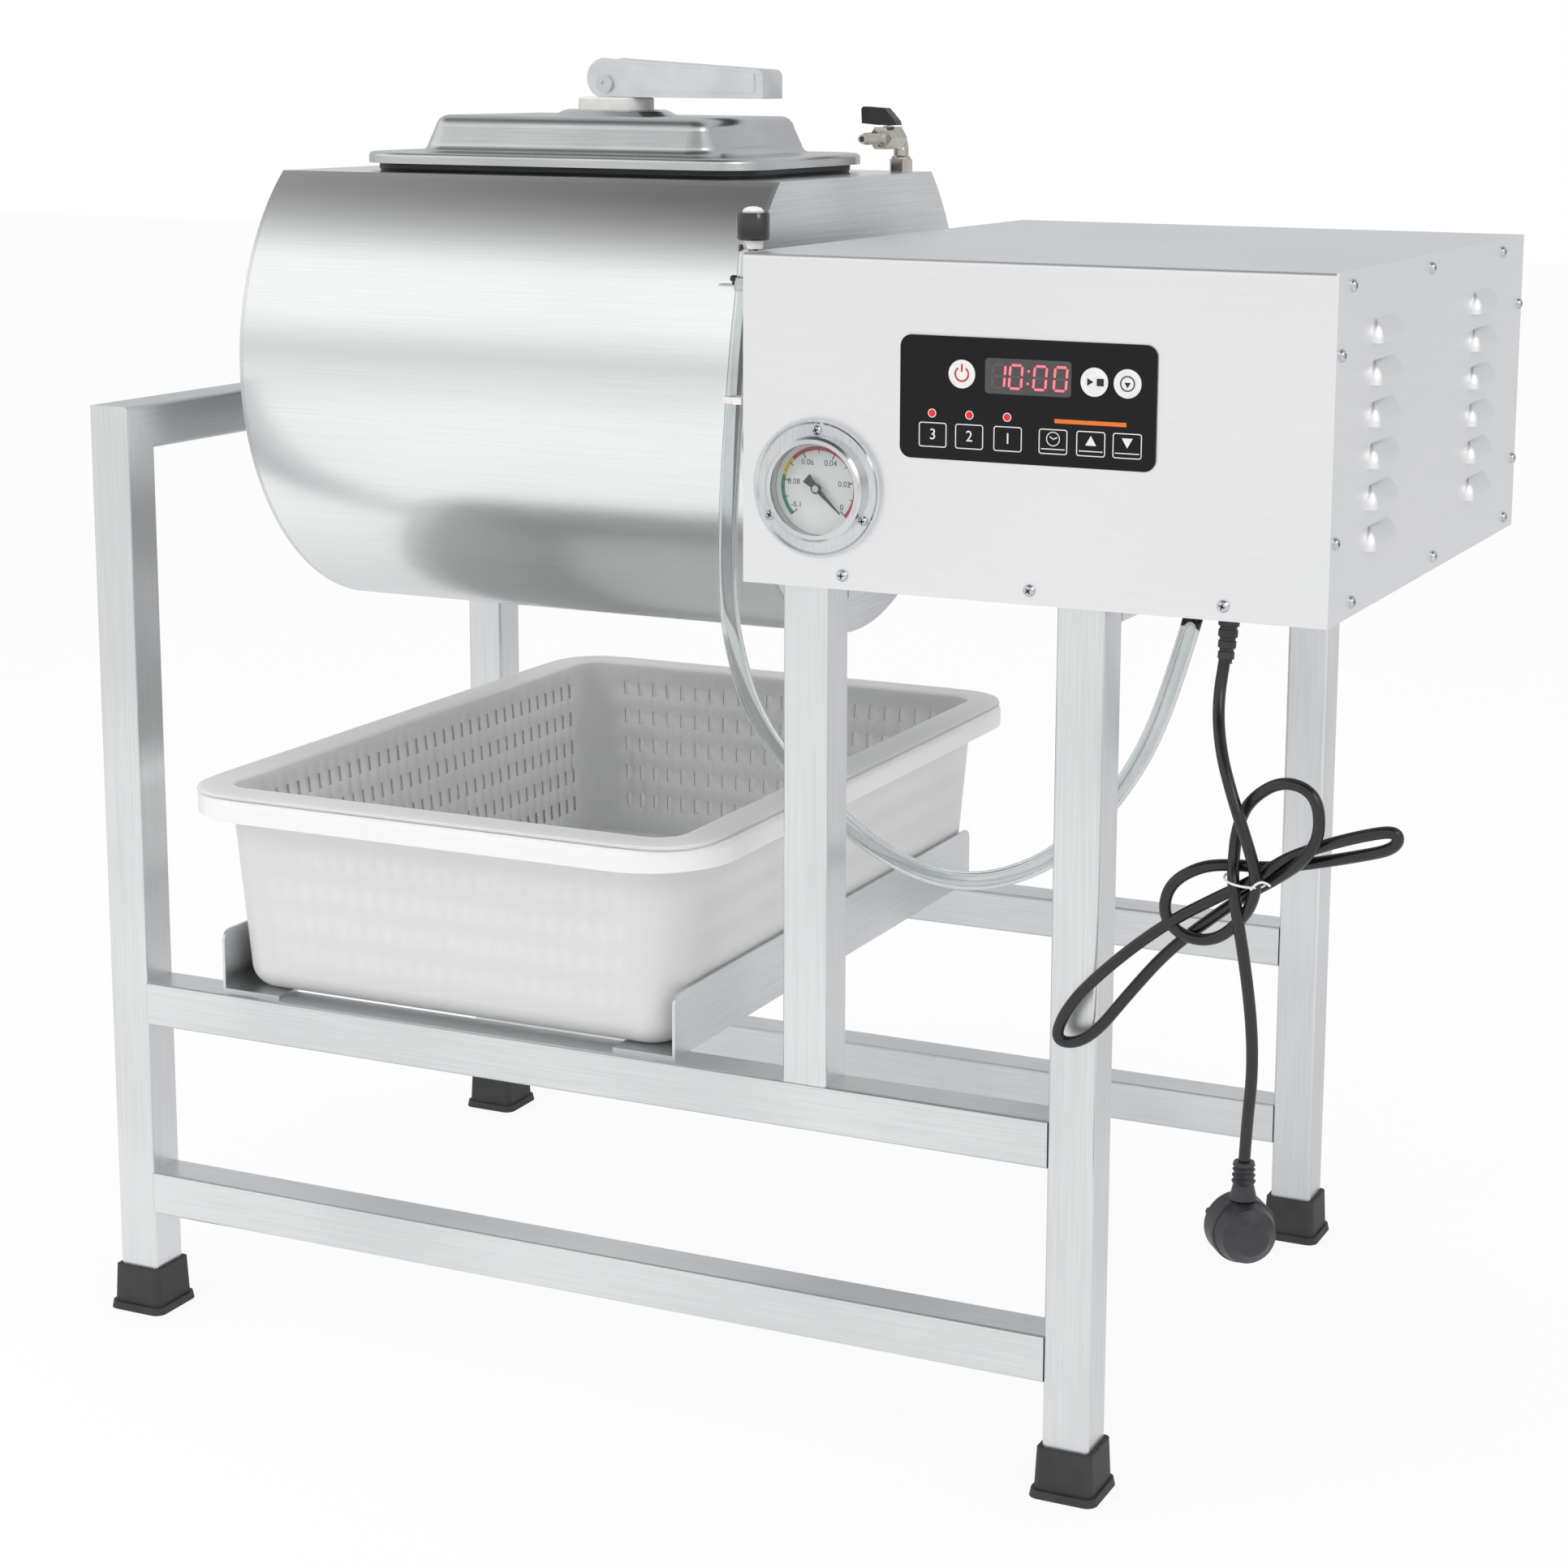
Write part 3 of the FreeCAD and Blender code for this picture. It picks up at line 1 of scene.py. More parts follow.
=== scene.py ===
import bpy, bmesh, math
from mathutils import Matrix, Vector


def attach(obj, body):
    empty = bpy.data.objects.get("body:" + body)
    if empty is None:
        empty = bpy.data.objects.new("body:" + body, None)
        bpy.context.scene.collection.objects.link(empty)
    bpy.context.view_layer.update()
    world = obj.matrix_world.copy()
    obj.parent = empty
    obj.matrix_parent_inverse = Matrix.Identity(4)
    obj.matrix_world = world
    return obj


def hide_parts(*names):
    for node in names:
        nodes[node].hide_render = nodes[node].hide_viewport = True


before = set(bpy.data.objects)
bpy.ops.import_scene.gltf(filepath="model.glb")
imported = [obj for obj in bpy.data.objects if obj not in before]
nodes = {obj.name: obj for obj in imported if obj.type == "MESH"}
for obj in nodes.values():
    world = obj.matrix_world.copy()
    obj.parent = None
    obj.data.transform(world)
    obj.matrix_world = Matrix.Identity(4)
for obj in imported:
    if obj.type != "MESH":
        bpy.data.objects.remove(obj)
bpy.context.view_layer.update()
print("frame loaded,", len(nodes), "nodes")

# Places are in mm from the outer corner of the left front leg: X right along the drum, Y to the back, Z up
midX, midY = 424.78, 256.0
toFront, toRight, upward = Vector((0, -1, 0)), Vector((1, 0, 0)), Vector((0, 0, 1))


def at(x, y, z):
    return Vector(((x - midX) / 1000, (y - midY) / 1000, z / 1000))


def hexColour(text):
    parts = [int(text[i:i + 2], 16) / 255 for i in (1, 3, 5)]
    return [c / 12.92 if c <= 0.04045 else ((c + 0.055) / 1.055) ** 2.4 for c in parts] + [1.0]


view = {"lens": 71.28, "shiftX": -0.0590, "shiftY": -0.0999, "place": (1317.5, -1657.6, 859.2),
        "down": 10.31, "turn": 24.16, "roll": 0.43}


def makeCamera():
    data = bpy.data.cameras.new("viewCamera")
    data.sensor_width = 36
    data.lens = view["lens"]
    data.shift_x, data.shift_y = view["shiftX"], view["shiftY"]
    camera = bpy.data.objects.new("viewCamera", data)
    camera.location = at(*view["place"])
    turn = Matrix.Rotation(math.radians(view["turn"]), 4, "Z")
    tilt = Matrix.Rotation(math.radians(90 - view["down"]), 4, "X")
    roll = Matrix.Rotation(math.radians(view["roll"]), 4, "Z")
    camera.rotation_euler = (turn @ tilt @ roll).to_euler()
    bpy.context.scene.collection.objects.link(camera)
    bpy.context.scene.camera = camera


makeCamera()
print("camera made")

hose = {"diameter": 12.0, "wall": 1.8, "finish": "clearHoseVinyl", "points": [
    (480, 18, 751), (479, 16, 726), (478, 11, 700), (476, 7, 655), (472, 7, 600), (470, 8, 555), (472, 10, 512),
    (482, 22, 460), (506, 50, 412), (548, 64, 372), (602, 66, 357), (654, 64, 374), (692, 60, 408),
    (722, 58, 450), (740, 58, 496), (752, 60, 542)]}

powerCord = {"diameter": 7.0, "finish": "glossyCordVinyl", "points": [
    (786, 22, 554), (785, 20, 530), (783, 12, 500), (792, -8, 476), (804, -20, 452), (813, -22, 430),
    (819, -22, 412), (819, -22, 398), (812, -18, 384), (795, -14, 367), (776, -14, 366), (762, -14, 377),
    (765, -14, 397), (783, -11, 409), (802, -7, 411), (821, -7, 411), (844, -7, 416), (873, -9, 424),
    (897, -12, 432), (898, -14, 443), (878, -14, 438), (851, -14, 428), (831, -14, 418), (816, -14, 405),
    (795, -14, 393), (766, -15, 375), (732, -15, 346), (705, -14, 317), (695, -12, 292), (717, -11, 295),
    (743, -10, 330), (764, -8, 356), (788, -7, 377), (809, -8, 394), (830, -13, 408), (846, -22, 421),
    (856, -22, 437), (853, -22, 461), (832, -18, 466), (811, -12, 451), (803, -8, 433), (803, -13, 415),
    (806, -22, 403), (809, -22, 385), (813, -17, 355), (817, -14, 320), (818, -13, 290), (816, -14, 262),
    (815, -14, 238)]}


def lineLength(points):
    return sum((b - a).length for a, b in zip(points, points[1:]))


def addLine(curve, places, closed=False):
    spline = curve.splines.new("NURBS")
    spline.points.add(len(places) - 1)
    for point, place in zip(spline.points, places):
        point.co = (*at(*place), 1)
    spline.order_u = 3
    spline.use_cyclic_u = closed
    spline.use_endpoint_u = not closed
    return spline


def makeCord(name, spec):
    curve = bpy.data.curves.new(name, "CURVE")
    curve.dimensions = "3D"
    curve.materials.append(bpy.data.materials.new(spec["finish"]))  # its nodes follow with the other finishes
    addLine(curve, spec["points"]).resolution_u = 8
    piece = bpy.data.objects.new(name, curve)
    bpy.context.scene.collection.objects.link(piece)
    bpy.context.view_layer.update()
    line = bpy.data.meshes.new_from_object(piece.evaluated_get(bpy.context.evaluated_depsgraph_get()))
    spec["length"] = lineLength([v.co for v in line.vertices])
    print(name, "is", round(spec["length"], 3), "m long")
    curve.bevel_depth = spec["diameter"] / 2000
    curve.bevel_resolution = 6
    curve.use_fill_caps = "wall" not in spec
    return piece


cordPiece = makeCord("powerCord", powerCord)
hosePiece = makeCord("vacuumHose", hose)
bore = hosePiece.modifiers.new("bore", "SOLIDIFY")  # the hose is a tube
bore.thickness, bore.offset = hose["wall"] / 1000, -1
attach(cordPiece, "machine")
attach(hosePiece, "machine")
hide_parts("power_cord", "cord_hank")
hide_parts("vacuum_hose")


def addNode(tree, kind, settings={}, inputs={}, links={}):
    node = tree.nodes.new("ShaderNode" + kind)
    for name, value in settings.items():
        setattr(node, name, value)
    for name, value in inputs.items():
        node.inputs[name].default_value = value
    for name, socket in links.items():
        tree.links.new(socket, node.inputs[name])
    return node


def pattern(tree, sizeMm, detail=2.0, source="Object"):
    # noise whose blobs have these sizes along the piece's own axes
    coords = addNode(tree, "TexCoord")
    mapping = addNode(tree, "Mapping", inputs={"Scale": [1000 / s for s in sizeMm]},
                      links={"Vector": coords.outputs[source]})
    return addNode(tree, "TexNoise", inputs={"Scale": 1.0, "Detail": detail, "Roughness": 0.55},
                   links={"Vector": mapping.outputs[0]}).outputs["Fac"]


def surface(name, spec):
    material = bpy.data.materials.get(name) or bpy.data.materials.new(name)
    material.use_nodes = True
    tree = material.node_tree
    shader = tree.nodes["Principled BSDF"]
    for socket, value in spec.get("sockets", {}).items():
        shader.inputs[socket].default_value = value
    fine = pattern(tree, spec["grain"])
    patch = pattern(tree, spec["patch"], 1.0)
    low, high = spec["roughness"]
    both = addNode(tree, "Math", {"operation": "ADD"}, links={0: fine, 1: patch})
    rough = addNode(tree, "MapRange", inputs={"From Min": 0.7, "From Max": 1.3, "To Min": low, "To Max": high},
                    links={"Value": both.outputs[0]})
    tree.links.new(rough.outputs[0], shader.inputs["Roughness"])
    shade = addNode(tree, "MapRange", inputs={"From Min": 0.75, "From Max": 1.25},
                    links={"Value": both.outputs[0]})
    colour = addNode(tree, "Mix", {"data_type": "RGBA"}, links={0: shade.outputs[0]})
    colour.inputs[6].default_value = hexColour(spec["colour"])
    colour.inputs[7].default_value = hexColour(spec.get("shade", spec["colour"]))
    tree.links.new(colour.outputs[2], shader.inputs["Base Color"])
    if spec.get("bump"):
        bump = addNode(tree, "Bump", inputs={"Strength": spec["bump"], "Distance": spec["depth"] / 1000},
                       links={"Height": fine})
        tree.links.new(bump.outputs[0], shader.inputs["Normal"])
    return material


# Stainless steel, linished along the tube: long fine scratches that stretch every reflection
def steelAlong(name, spec, axis):
    grain = [spec["scratch"]] * 3
    grain["XYZ".index(axis)] = spec["scratchLength"]
    return surface(name, {**spec, "grain": grain, "sockets": {"Metallic": 1.0}})


tubeSteel = {"colour": "#E3E4E5", "shade": "#D5D7D8", "roughness": (0.28, 0.38), "scratch": 0.9,
             "scratchLength": 70, "patch": (140, 140, 140), "bump": 0.12, "depth": 0.02}
linishedUpright = steelAlong("linishedStainlessUpright", tubeSteel, "Z")
linishedLong = steelAlong("linishedStainlessLong", tubeSteel, "X")
linishedCross = steelAlong("linishedStainlessCross", tubeSteel, "Y")

# Rolled and finely ground stainless sheet: smoother than the tube, so the studio shows in it as wide soft bands
drumSteel = {"colour": "#EEEFEF", "shade": "#E7E8E9", "roughness": (0.18, 0.23), "scratch": 0.8,
             "scratchLength": 110, "patch": (260, 120, 120), "bump": 0.06, "depth": 0.01}
groundSheet = steelAlong("groundStainlessSheet", drumSteel, "X")
# the end plates: the same ground sheet with a rougher finish, and a darker colour that is painted shade
groundEndPaintedShade = steelAlong("groundStainlessEndPaintedShade", {**drumSteel, "colour": "#D4D6D8", "roughness": (0.25, 0.33)}, "Y")

# Satin stainless cabinet sheet: a short even grain with almost no mirror in it
cabinetSteel = {"colour": "#F0F0F1", "shade": "#EBECED", "roughness": (0.38, 0.43), "scratch": 0.7,
                "scratchLength": 40, "patch": (180, 180, 180), "bump": 0.05, "depth": 0.01}
satinFront = steelAlong("satinStainlessFront", cabinetSteel, "X")
satinSide = steelAlong("satinStainlessSide", cabinetSteel, "Y")

# Deep drawn and polished stainless: the draw leaves faint waves, the polish leaves clear highlights. Its colour is
# darker than the other stainless as a painted dark reflection across the pan.
drawnSteelPaintedReflection = {"colour": "#CFD0D1", "shade": "#C0C2C3", "roughness": (0.2, 0.28), "scratch": 1.0,
              "scratchLength": 40, "patch": (60, 60, 60), "bump": 0.08, "depth": 0.01}
drawnLidPaintedReflection = steelAlong("drawnStainlessLidPaintedReflection", drawnSteelPaintedReflection, "X")
polishedSteel = surface("polishedStainless", {
    "colour": "#DCDDDE", "shade": "#CBCDCF", "roughness": (0.14, 0.22), "grain": (0.8, 0.8, 12),
    "patch": (30, 30, 30), "bump": 0.1, "depth": 0.01, "sockets": {"Metallic": 1.0}})
leverSteel = surface("tumbledStainlessLever", {
    "colour": "#E6E7E8", "shade": "#D5D7D9", "roughness": (0.28, 0.38), "grain": (1.1, 1.1, 1.1),
    "patch": (25, 25, 25), "bump": 0.12, "depth": 0.02, "sockets": {"Metallic": 1.0}})
zincSteel = surface("zincPlatedSteel", {  # bright passivated screws
    "colour": "#D6D8DA", "shade": "#B9BCBF", "roughness": (0.18, 0.3), "grain": (0.6, 0.6, 0.6),
    "patch": (3, 3, 3), "sockets": {"Metallic": 1.0}})
nickelPlate = surface("nickelPlatedBrass", {  # warm, bright and slightly wavy from the plating
    "colour": "#CFCBC3", "shade": "#BDB8AE", "roughness": (0.12, 0.22), "grain": (1.5, 1.5, 1.5),
    "patch": (9, 9, 9), "bump": 0.15, "depth": 0.03, "sockets": {"Metallic": 1.0}})
turnedSteel = surface("turnedShaftSteel", {  # lathe marks round the shaft
    "colour": "#BFC1C3", "shade": "#A6A8AB", "roughness": (0.2, 0.32), "grain": (0.5, 30, 30),
    "patch": (12, 40, 40), "bump": 0.2, "depth": 0.02, "sockets": {"Metallic": 1.0}})
hammerGrey = surface("hammerPaintedCasting", {  # sand cast under grey enamel: orange peel
    "colour": "#6E7276", "shade": "#62666A", "roughness": (0.35, 0.5), "grain": (1.6, 1.6, 1.6),
    "patch": (14, 14, 14), "bump": 0.5, "depth": 0.25, "sockets": {"Coat Weight": 0.3, "Coat Roughness": 0.2}})
mouldedRubber = surface("mouldedRubber", {  # matt black rubber with a fine mould grain and a little bloom
    "colour": "#2A2A2C", "shade": "#39393B", "roughness": (0.55, 0.72), "grain": (0.9, 0.9, 0.9),
    "patch": (16, 16, 16), "bump": 0.3, "depth": 0.08, "sockets": {"IOR": 1.52}})
sealRubber = surface("extrudedSealRubber", {  # denser and a little shinier than the feet
    "colour": "#161617", "shade": "#202022", "roughness": (0.38, 0.5), "grain": (6, 6, 0.5),
    "patch": (30, 30, 8), "bump": 0.2, "depth": 0.05, "sockets": {"IOR": 1.52}})
cordVinyl = surface("glossyCordVinyl", {  # extruded PVC sheath, shiny with faint drawing lines
    "colour": "#121214", "shade": "#1D1D20", "roughness": (0.2, 0.32), "grain": (1.4, 1.4, 1.4),
    "patch": (12, 12, 12), "bump": 0.15, "depth": 0.04, "sockets": {"IOR": 1.54}})
plugVinyl = surface("mouldedPlugVinyl", {
    "colour": "#26272A", "shade": "#323337", "roughness": (0.36, 0.48), "grain": (0.8, 0.8, 0.8),
    "patch": (9, 9, 9), "bump": 0.25, "depth": 0.05, "sockets": {"IOR": 1.54}})
blackAbs = surface("blackAbs", {  # moulded ABS with a light spark texture
    "colour": "#17171A", "shade": "#222226", "roughness": (0.28, 0.4), "grain": (0.6, 0.6, 0.6),
    "patch": (8, 8, 8), "bump": 0.2, "depth": 0.04, "sockets": {"IOR": 1.53}})
glossAbs = surface("glossBlackAbs", {  # polished mould, mirror-like
    "colour": "#0E0E10", "shade": "#18181A", "roughness": (0.1, 0.16), "grain": (2, 2, 2),
    "patch": (10, 10, 10), "sockets": {"IOR": 1.53, "Coat Weight": 0.5, "Coat Roughness": 0.05}})
whiteNylon = surface("turnedWhiteNylon", {  # slightly translucent, with soft turning marks
    "colour": "#F0F0EC", "shade": "#E6E6E2", "roughness": (0.35, 0.45), "grain": (9, 9, 0.6),
    "patch": (10, 10, 10), "bump": 0.15, "depth": 0.03,
    "sockets": {"IOR": 1.53, "Subsurface Weight": 0.15, "Subsurface Scale": 0.002}})
milkyPoly = surface("milkyPolyethylene", {  # blow moulded food tub: waxy, with faint flow clouds
    "colour": "#FBFBFB", "shade": "#F6F7F7", "roughness": (0.32, 0.42), "grain": (3, 3, 3),
    "patch": (60, 60, 45), "bump": 0.12, "depth": 0.1,
    "sockets": {"IOR": 1.51, "Subsurface Weight": 0.7, "Subsurface Scale": 0.012,
                "Subsurface Radius": (1.0, 1.0, 1.0)}})
clearVinyl = surface("clearHoseVinyl", {  # extruded soft PVC, almost clear, a little hazy
    "colour": "#EEF0F0", "shade": "#E4E8E8", "roughness": (0.03, 0.08), "grain": (2, 2, 20),
    "patch": (15, 15, 40), "sockets": {"IOR": 1.45, "Transmission Weight": 1.0}})
gaugeGlass = surface("flatGaugeGlass", {
    "colour": "#F7F9F9", "shade": "#F2F5F5", "roughness": (0.0, 0.02), "grain": (4, 4, 4),
    "patch": (20, 20, 20), "sockets": {"IOR": 1.5, "Transmission Weight": 1.0}})
for material in (clearVinyl, gaugeGlass):  # daylight passes through them to what lies behind
    tree = material.node_tree
    rays = addNode(tree, "LightPath")
    clear = addNode(tree, "BsdfTransparent")
    passing = addNode(tree, "MixShader", links={
        0: rays.outputs["Is Shadow Ray"], 1: tree.nodes["Principled BSDF"].outputs[0], 2: clear.outputs[0]})
    tree.links.new(passing.outputs[0], tree.nodes["Material Output"].inputs["Surface"])
dialEnamel = surface("whiteDialEnamel", {
    "colour": "#F1F1EF", "shade": "#ECECEA", "roughness": (0.35, 0.45), "grain": (0.5, 0.5, 0.5),
    "patch": (8, 8, 8), "sockets": {"IOR": 1.5}})
boardGreen = surface("greenSolderMask", {
    "colour": "#14603A", "shade": "#0E4A2B", "roughness": (0.25, 0.4), "grain": (2.5, 8, 1.2),
    "patch": (12, 12, 12), "bump": 0.3, "depth": 0.1, "sockets": {"IOR": 1.5}})
overlayFilm = surface("printedPolyesterFilm", {  # back printed black film: even, faintly pebbled, soft gloss
    "colour": "#0B0B0D", "shade": "#131316", "roughness": (0.22, 0.32), "grain": (0.5, 0.5, 0.5),
    "patch": (40, 40, 25), "bump": 0.1, "depth": 0.02, "sockets": {"IOR": 1.57, "Specular IOR Level": 0.2}})
print("finishes made")

dress = {
    linishedUpright: ("left_front_leg", "left_back_leg", "mid_front_leg", "mid_back_leg", "right_front_leg",
                      "right_back_leg"),
    linishedLong: ("front_mid_rail", "back_mid_rail", "front_low_rail", "back_low_rail"),
    linishedCross: ("left_top_tube", "cabinet_tubes", "tub_brackets", "base_plate", "motor_bracket"),
    groundSheet: ("drum_wall", "drum_top_plate", "drum_baffles"),
    groundEndPaintedShade: ("drum_left_end", "drum_right_end"),
    satinFront: ("cabinet_shell", "back_panel"),
    satinSide: ("right_cover", "left_panel"),
    drawnLidPaintedReflection: ("lid_pan",),
    polishedSteel: ("gauge_case", "lever_pin"),
    leverSteel: ("lid_lever",),
    turnedSteel: ("left_stub_shaft", "drive_shaft", "clamp_stud", "clamp_bar"),
    zincSteel: ("fasteners",),
    nickelPlate: ("valve_elbow", "valve_body", "hose_fitting"),
    hammerGrey: ("gear_motor", "gear_head", "vacuum_pump", "left_bearing", "right_bearing"),
    mouldedRubber: ("rubber_feet", "cord_gland"),
    sealRubber: ("lid_gasket",),
    plugVinyl: ("power_plug",),
    blackAbs: ("valve_handle", "gauge_needle", "hose_connector", "hose_clips"),
    whiteNylon: ("lid_spacer",),
    milkyPoly: ("outer_tub", "inner_basket"),
    clearVinyl: ("vacuum_line",),
    gaugeGlass: ("gauge_glass",),
    dialEnamel: ("gauge_dial",),
    boardGreen: ("control_board",),
    overlayFilm: ("control_overlay",)}
for material, names in dress.items():
    for name in names:
        mesh = nodes[name].data
        mesh.materials.clear()
        mesh.materials.append(material)
print("nodes dressed")


def ofKind(geom, kind):
    return [item for item in geom if isinstance(item, kind)]


def addPart(bm, part, place=None, turn=None):
    # joins a small bmesh, drawn in metres round zero, into bm
    if turn:
        bmesh.ops.transform(part, matrix=turn, verts=part.verts[:])
    if place is not None:
        bmesh.ops.translate(part, vec=place, verts=part.verts[:])
    mesh = bpy.data.meshes.new("part")
    part.to_mesh(mesh)
    part.free()
    bm.from_mesh(mesh)
    bpy.data.meshes.remove(mesh)


def finishPiece(name, bm, body, material, sharp=35):
    bmesh.ops.remove_doubles(bm, verts=bm.verts[:], dist=1e-7)
    bmesh.ops.recalc_face_normals(bm, faces=bm.faces[:])
    mesh = bpy.data.meshes.new(name)
    bm.to_mesh(mesh)
    bm.free()
    for face in mesh.polygons:
        face.use_smooth = True
    mesh.set_sharp_from_angle(angle=math.radians(sharp))
    mesh.materials.append(material)
    piece = bpy.data.objects.new(name, mesh)
    bpy.context.scene.collection.objects.link(piece)
    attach(piece, body)
    return piece


def spinOutline(bm, outline, start, axis, steps=32):
    # turns (radius, distance along the axis) in mm about the axis through start
    axis = Vector(axis).normalized()
    side = axis.orthogonal().normalized()
    line = [bm.verts.new(start + side * (r / 1000) + axis * (s / 1000)) for r, s in outline]
    edges = [bm.edges.new(pair) for pair in zip(line, line[1:])]
    bmesh.ops.spin(bm, geom=line + edges, cent=start, axis=axis, angle=math.tau, steps=steps, use_merge=True)


def thicken(part, thick):
    raised = bmesh.ops.extrude_face_region(part, geom=part.faces[:])["geom"]
    bmesh.ops.translate(part, vec=(0, 0, thick / 1000), verts=ofKind(raised, bmesh.types.BMVert))


def flatShape(size, corner=0.0, rim=None, thick=0.15, sides=None):
    # a plate or disc lying on the ground plane, size in mm, or only its rim
    part = bmesh.new()
    if sides:
        bmesh.ops.create_circle(part, cap_ends=True, segments=sides, radius=0.5)
    else:
        bmesh.ops.create_grid(part, x_segments=1, y_segments=1, size=0.5)
    bmesh.ops.scale(part, vec=(size[0] / 1000, size[1] / 1000, 1), verts=part.verts[:])
    if corner:
        bmesh.ops.bevel(part, geom=part.verts[:], offset=corner / 1000, affect="VERTICES", segments=5,
                        profile=0.5, material=-1)
    if rim:
        inside = part.faces[:]
        bmesh.ops.inset_region(part, faces=inside, thickness=rim / 1000, use_boundary=True,
                               use_even_offset=True)
        bmesh.ops.delete(part, geom=inside, context="FACES")
    thicken(part, thick)
    return part


faceFront = Matrix.Rotation(math.radians(90), 4, "X")  # ground plane to the plane that faces the operator
arcStep = 6  # degrees


def stamp(bm, shapes, y, middle=(0, 0)):
    # shapes on a plane that faces the operator: place (x, z) about the middle, size and the rest as in flatShape
    for shape in shapes:
        shape = dict(shape)
        x, z = shape.pop("place", (0, 0))
        turn = Matrix.Rotation(math.radians(shape.pop("turn", 0)), 4, "Z")
        addPart(bm, flatShape(**shape), at(middle[0] + x, y, middle[1] + z), faceFront @ turn)


def arcBand(bm, centre, radii, start, end, y, thick=0.1):
    # a band between two radii, from one angle to another, degrees from the right, facing the operator
    part = bmesh.new()
    angle = math.radians(start)
    first = [part.verts.new((r / 1000 * math.cos(angle), r / 1000 * math.sin(angle), 0)) for r in radii]
    edge = part.edges.new(first)
    bmesh.ops.spin(part, geom=first + [edge], cent=(0, 0, 0), axis=(0, 0, 1), angle=math.radians(end - start),
                   steps=max(3, int(abs(end - start) / arcStep)))
    thicken(part, thick)
    addPart(bm, part, at(centre[0], y, centre[1]), faceFront)


numeral = {"sizeToHeight": 1.38, "thick": 0.1}


def addNumber(bm, text, place, height, y):
    curve = bpy.data.curves.new("number", "FONT")
    curve.body, curve.size = text, height / 1000 * numeral["sizeToHeight"]
    curve.extrude = numeral["thick"] / 2000
    curve.align_x, curve.align_y = "CENTER", "CENTER"
    curve.resolution_u = 4
    holder = bpy.data.objects.new("number", curve)
    bpy.context.scene.collection.objects.link(holder)
    bpy.context.view_layer.update()
    mesh = bpy.data.meshes.new_from_object(holder.evaluated_get(bpy.context.evaluated_depsgraph_get()))
    bpy.data.objects.remove(holder)
    part = bmesh.new()
    part.from_mesh(mesh)
    addPart(bm, part, at(place[0], y, place[1]), faceFront)


printShade, printSpread = 0.93, 0.05


def ink(name, colour, roughness=0.4, glow=0.0):
    # screen printed ink, with the small unevenness of the print
    dark = "#" + "".join(f"{int(int(colour[i:i + 2], 16) * printShade):02X}" for i in (1, 3, 5))
    sockets = {"IOR": 1.5}
    if glow:
        sockets.update({"Emission Color": hexColour(colour), "Emission Strength": glow})
    return surface(name, {"colour": colour, "shade": dark, "grain": (0.4, 0.4, 0.4), "patch": (6, 6, 6),
                          "roughness": (roughness - printSpread, roughness + printSpread),
                          "sockets": sockets})


whiteInk = ink("whiteScreenInk", "#F2F2F0")
redInk = ink("redScreenInk", "#C4202A")
orangeInk = ink("orangeScreenInk", "#F07818")
# black print, also used as the painted shade in the screw recesses
blackInkAndRecessShade = ink("blackScreenInkAndRecessShade", "#1A1A1B")
greenInk = ink("greenScreenInk", "#14946A")
yellowInk = ink("yellowScreenInk", "#F2D21E")
smokedWindow = ink("smokedDisplayWindow", "#4E4A4C", 0.25)
unlitSegment = ink("unlitDisplaySegment", "#5E5557", 0.3)
litSegment = ink("litDisplaySegment", "#FF7A80", 0.3, 0.35)
redLens = ink("redIndicatorLens", "#E8141E", 0.2, 0.15)
print("inks made")

controls = {"front": -2.5, "keys": (610, 633, 657, 685, 708, 730), "keyZ": 646.2, "symbolUp": 1.6,
            "lamps": (609.5, 633, 656.5), "lampZ": 658.8, "power": (628, 682.4), "roundKeys": (709.5, 729.5),
            "roundZ": 681.6, "bar": (707.5, 658.2), "numberHeight": 6.5, "numberIn": 0.05, "onKey": 0.25,
            "powerArc": (3.6, 4.6), "powerFrom": 125, "powerTo": 415,
            "lens": [(0, 0), (2.0, 0), (1.9, 0.35), (1.1, 0.75), (0, 0.9)]}

symbols = {  # shapes in mm about the middle of each symbol
    "key": [{"size": (17.5, 14.5), "corner": 1.6, "rim": 0.55}],
    "clock": [{"size": (8.4, 8.4), "sides": 28, "rim": 0.5},
              {"place": (-0.9, 0.6), "size": (2.6, 0.6), "turn": -35},
              {"place": (1.1, 0.3), "size": (3.2, 0.6), "turn": 22}],
    "up": [{"place": (0, -0.7), "size": (7.6, 7.6), "sides": 3}],
    "down": [{"place": (0, 0.9), "size": (7.6, 7.6), "sides": 3, "turn": 180}],
    "underline": [{"place": (0, -4.3), "size": (14.5, 0.55)}],
    "roundKey": [{"size": (16.6, 16.6), "sides": 40, "thick": 0.25}],
    "powerBar": [{"place": (0, 3.6), "size": (1.0, 4.4)}],
    "startStop": [{"place": (-3, 0), "size": (5, 5), "sides": 3, "turn": -90},
                  {"place": (3.6, 0), "size": (4.2, 4.2)}],
    "pump": [{"size": (9, 9), "sides": 28, "rim": 0.7},
             {"place": (0, -0.4), "size": (4.2, 4.2), "sides": 3, "turn": 180}],
    "bar": [{"size": (43.5, 2.4)}],
    "window": [{"size": (53, 20.5), "corner": 2.2}],
    "lampRing": [{"size": (5.2, 5.2), "sides": 28, "rim": 0.5}]}

display = {"window": (669, 682.3), "digitX": (652.5, 661.5, 676.5, 689), "lit": ("bc", "abcdef", "abcdef", "abcdef"),
           "digit": (7.4, 13.4), "stroke": 1.45, "barGap": 0.9, "barCorner": 0.42, "barThick": 0.1, "slant": 0.07,
           "lean": 4, "oneLeft": 1.5, "colonX": 669.2, "colonUp": 3.6, "colonSize": 1.5, "onWindow": 0.15}


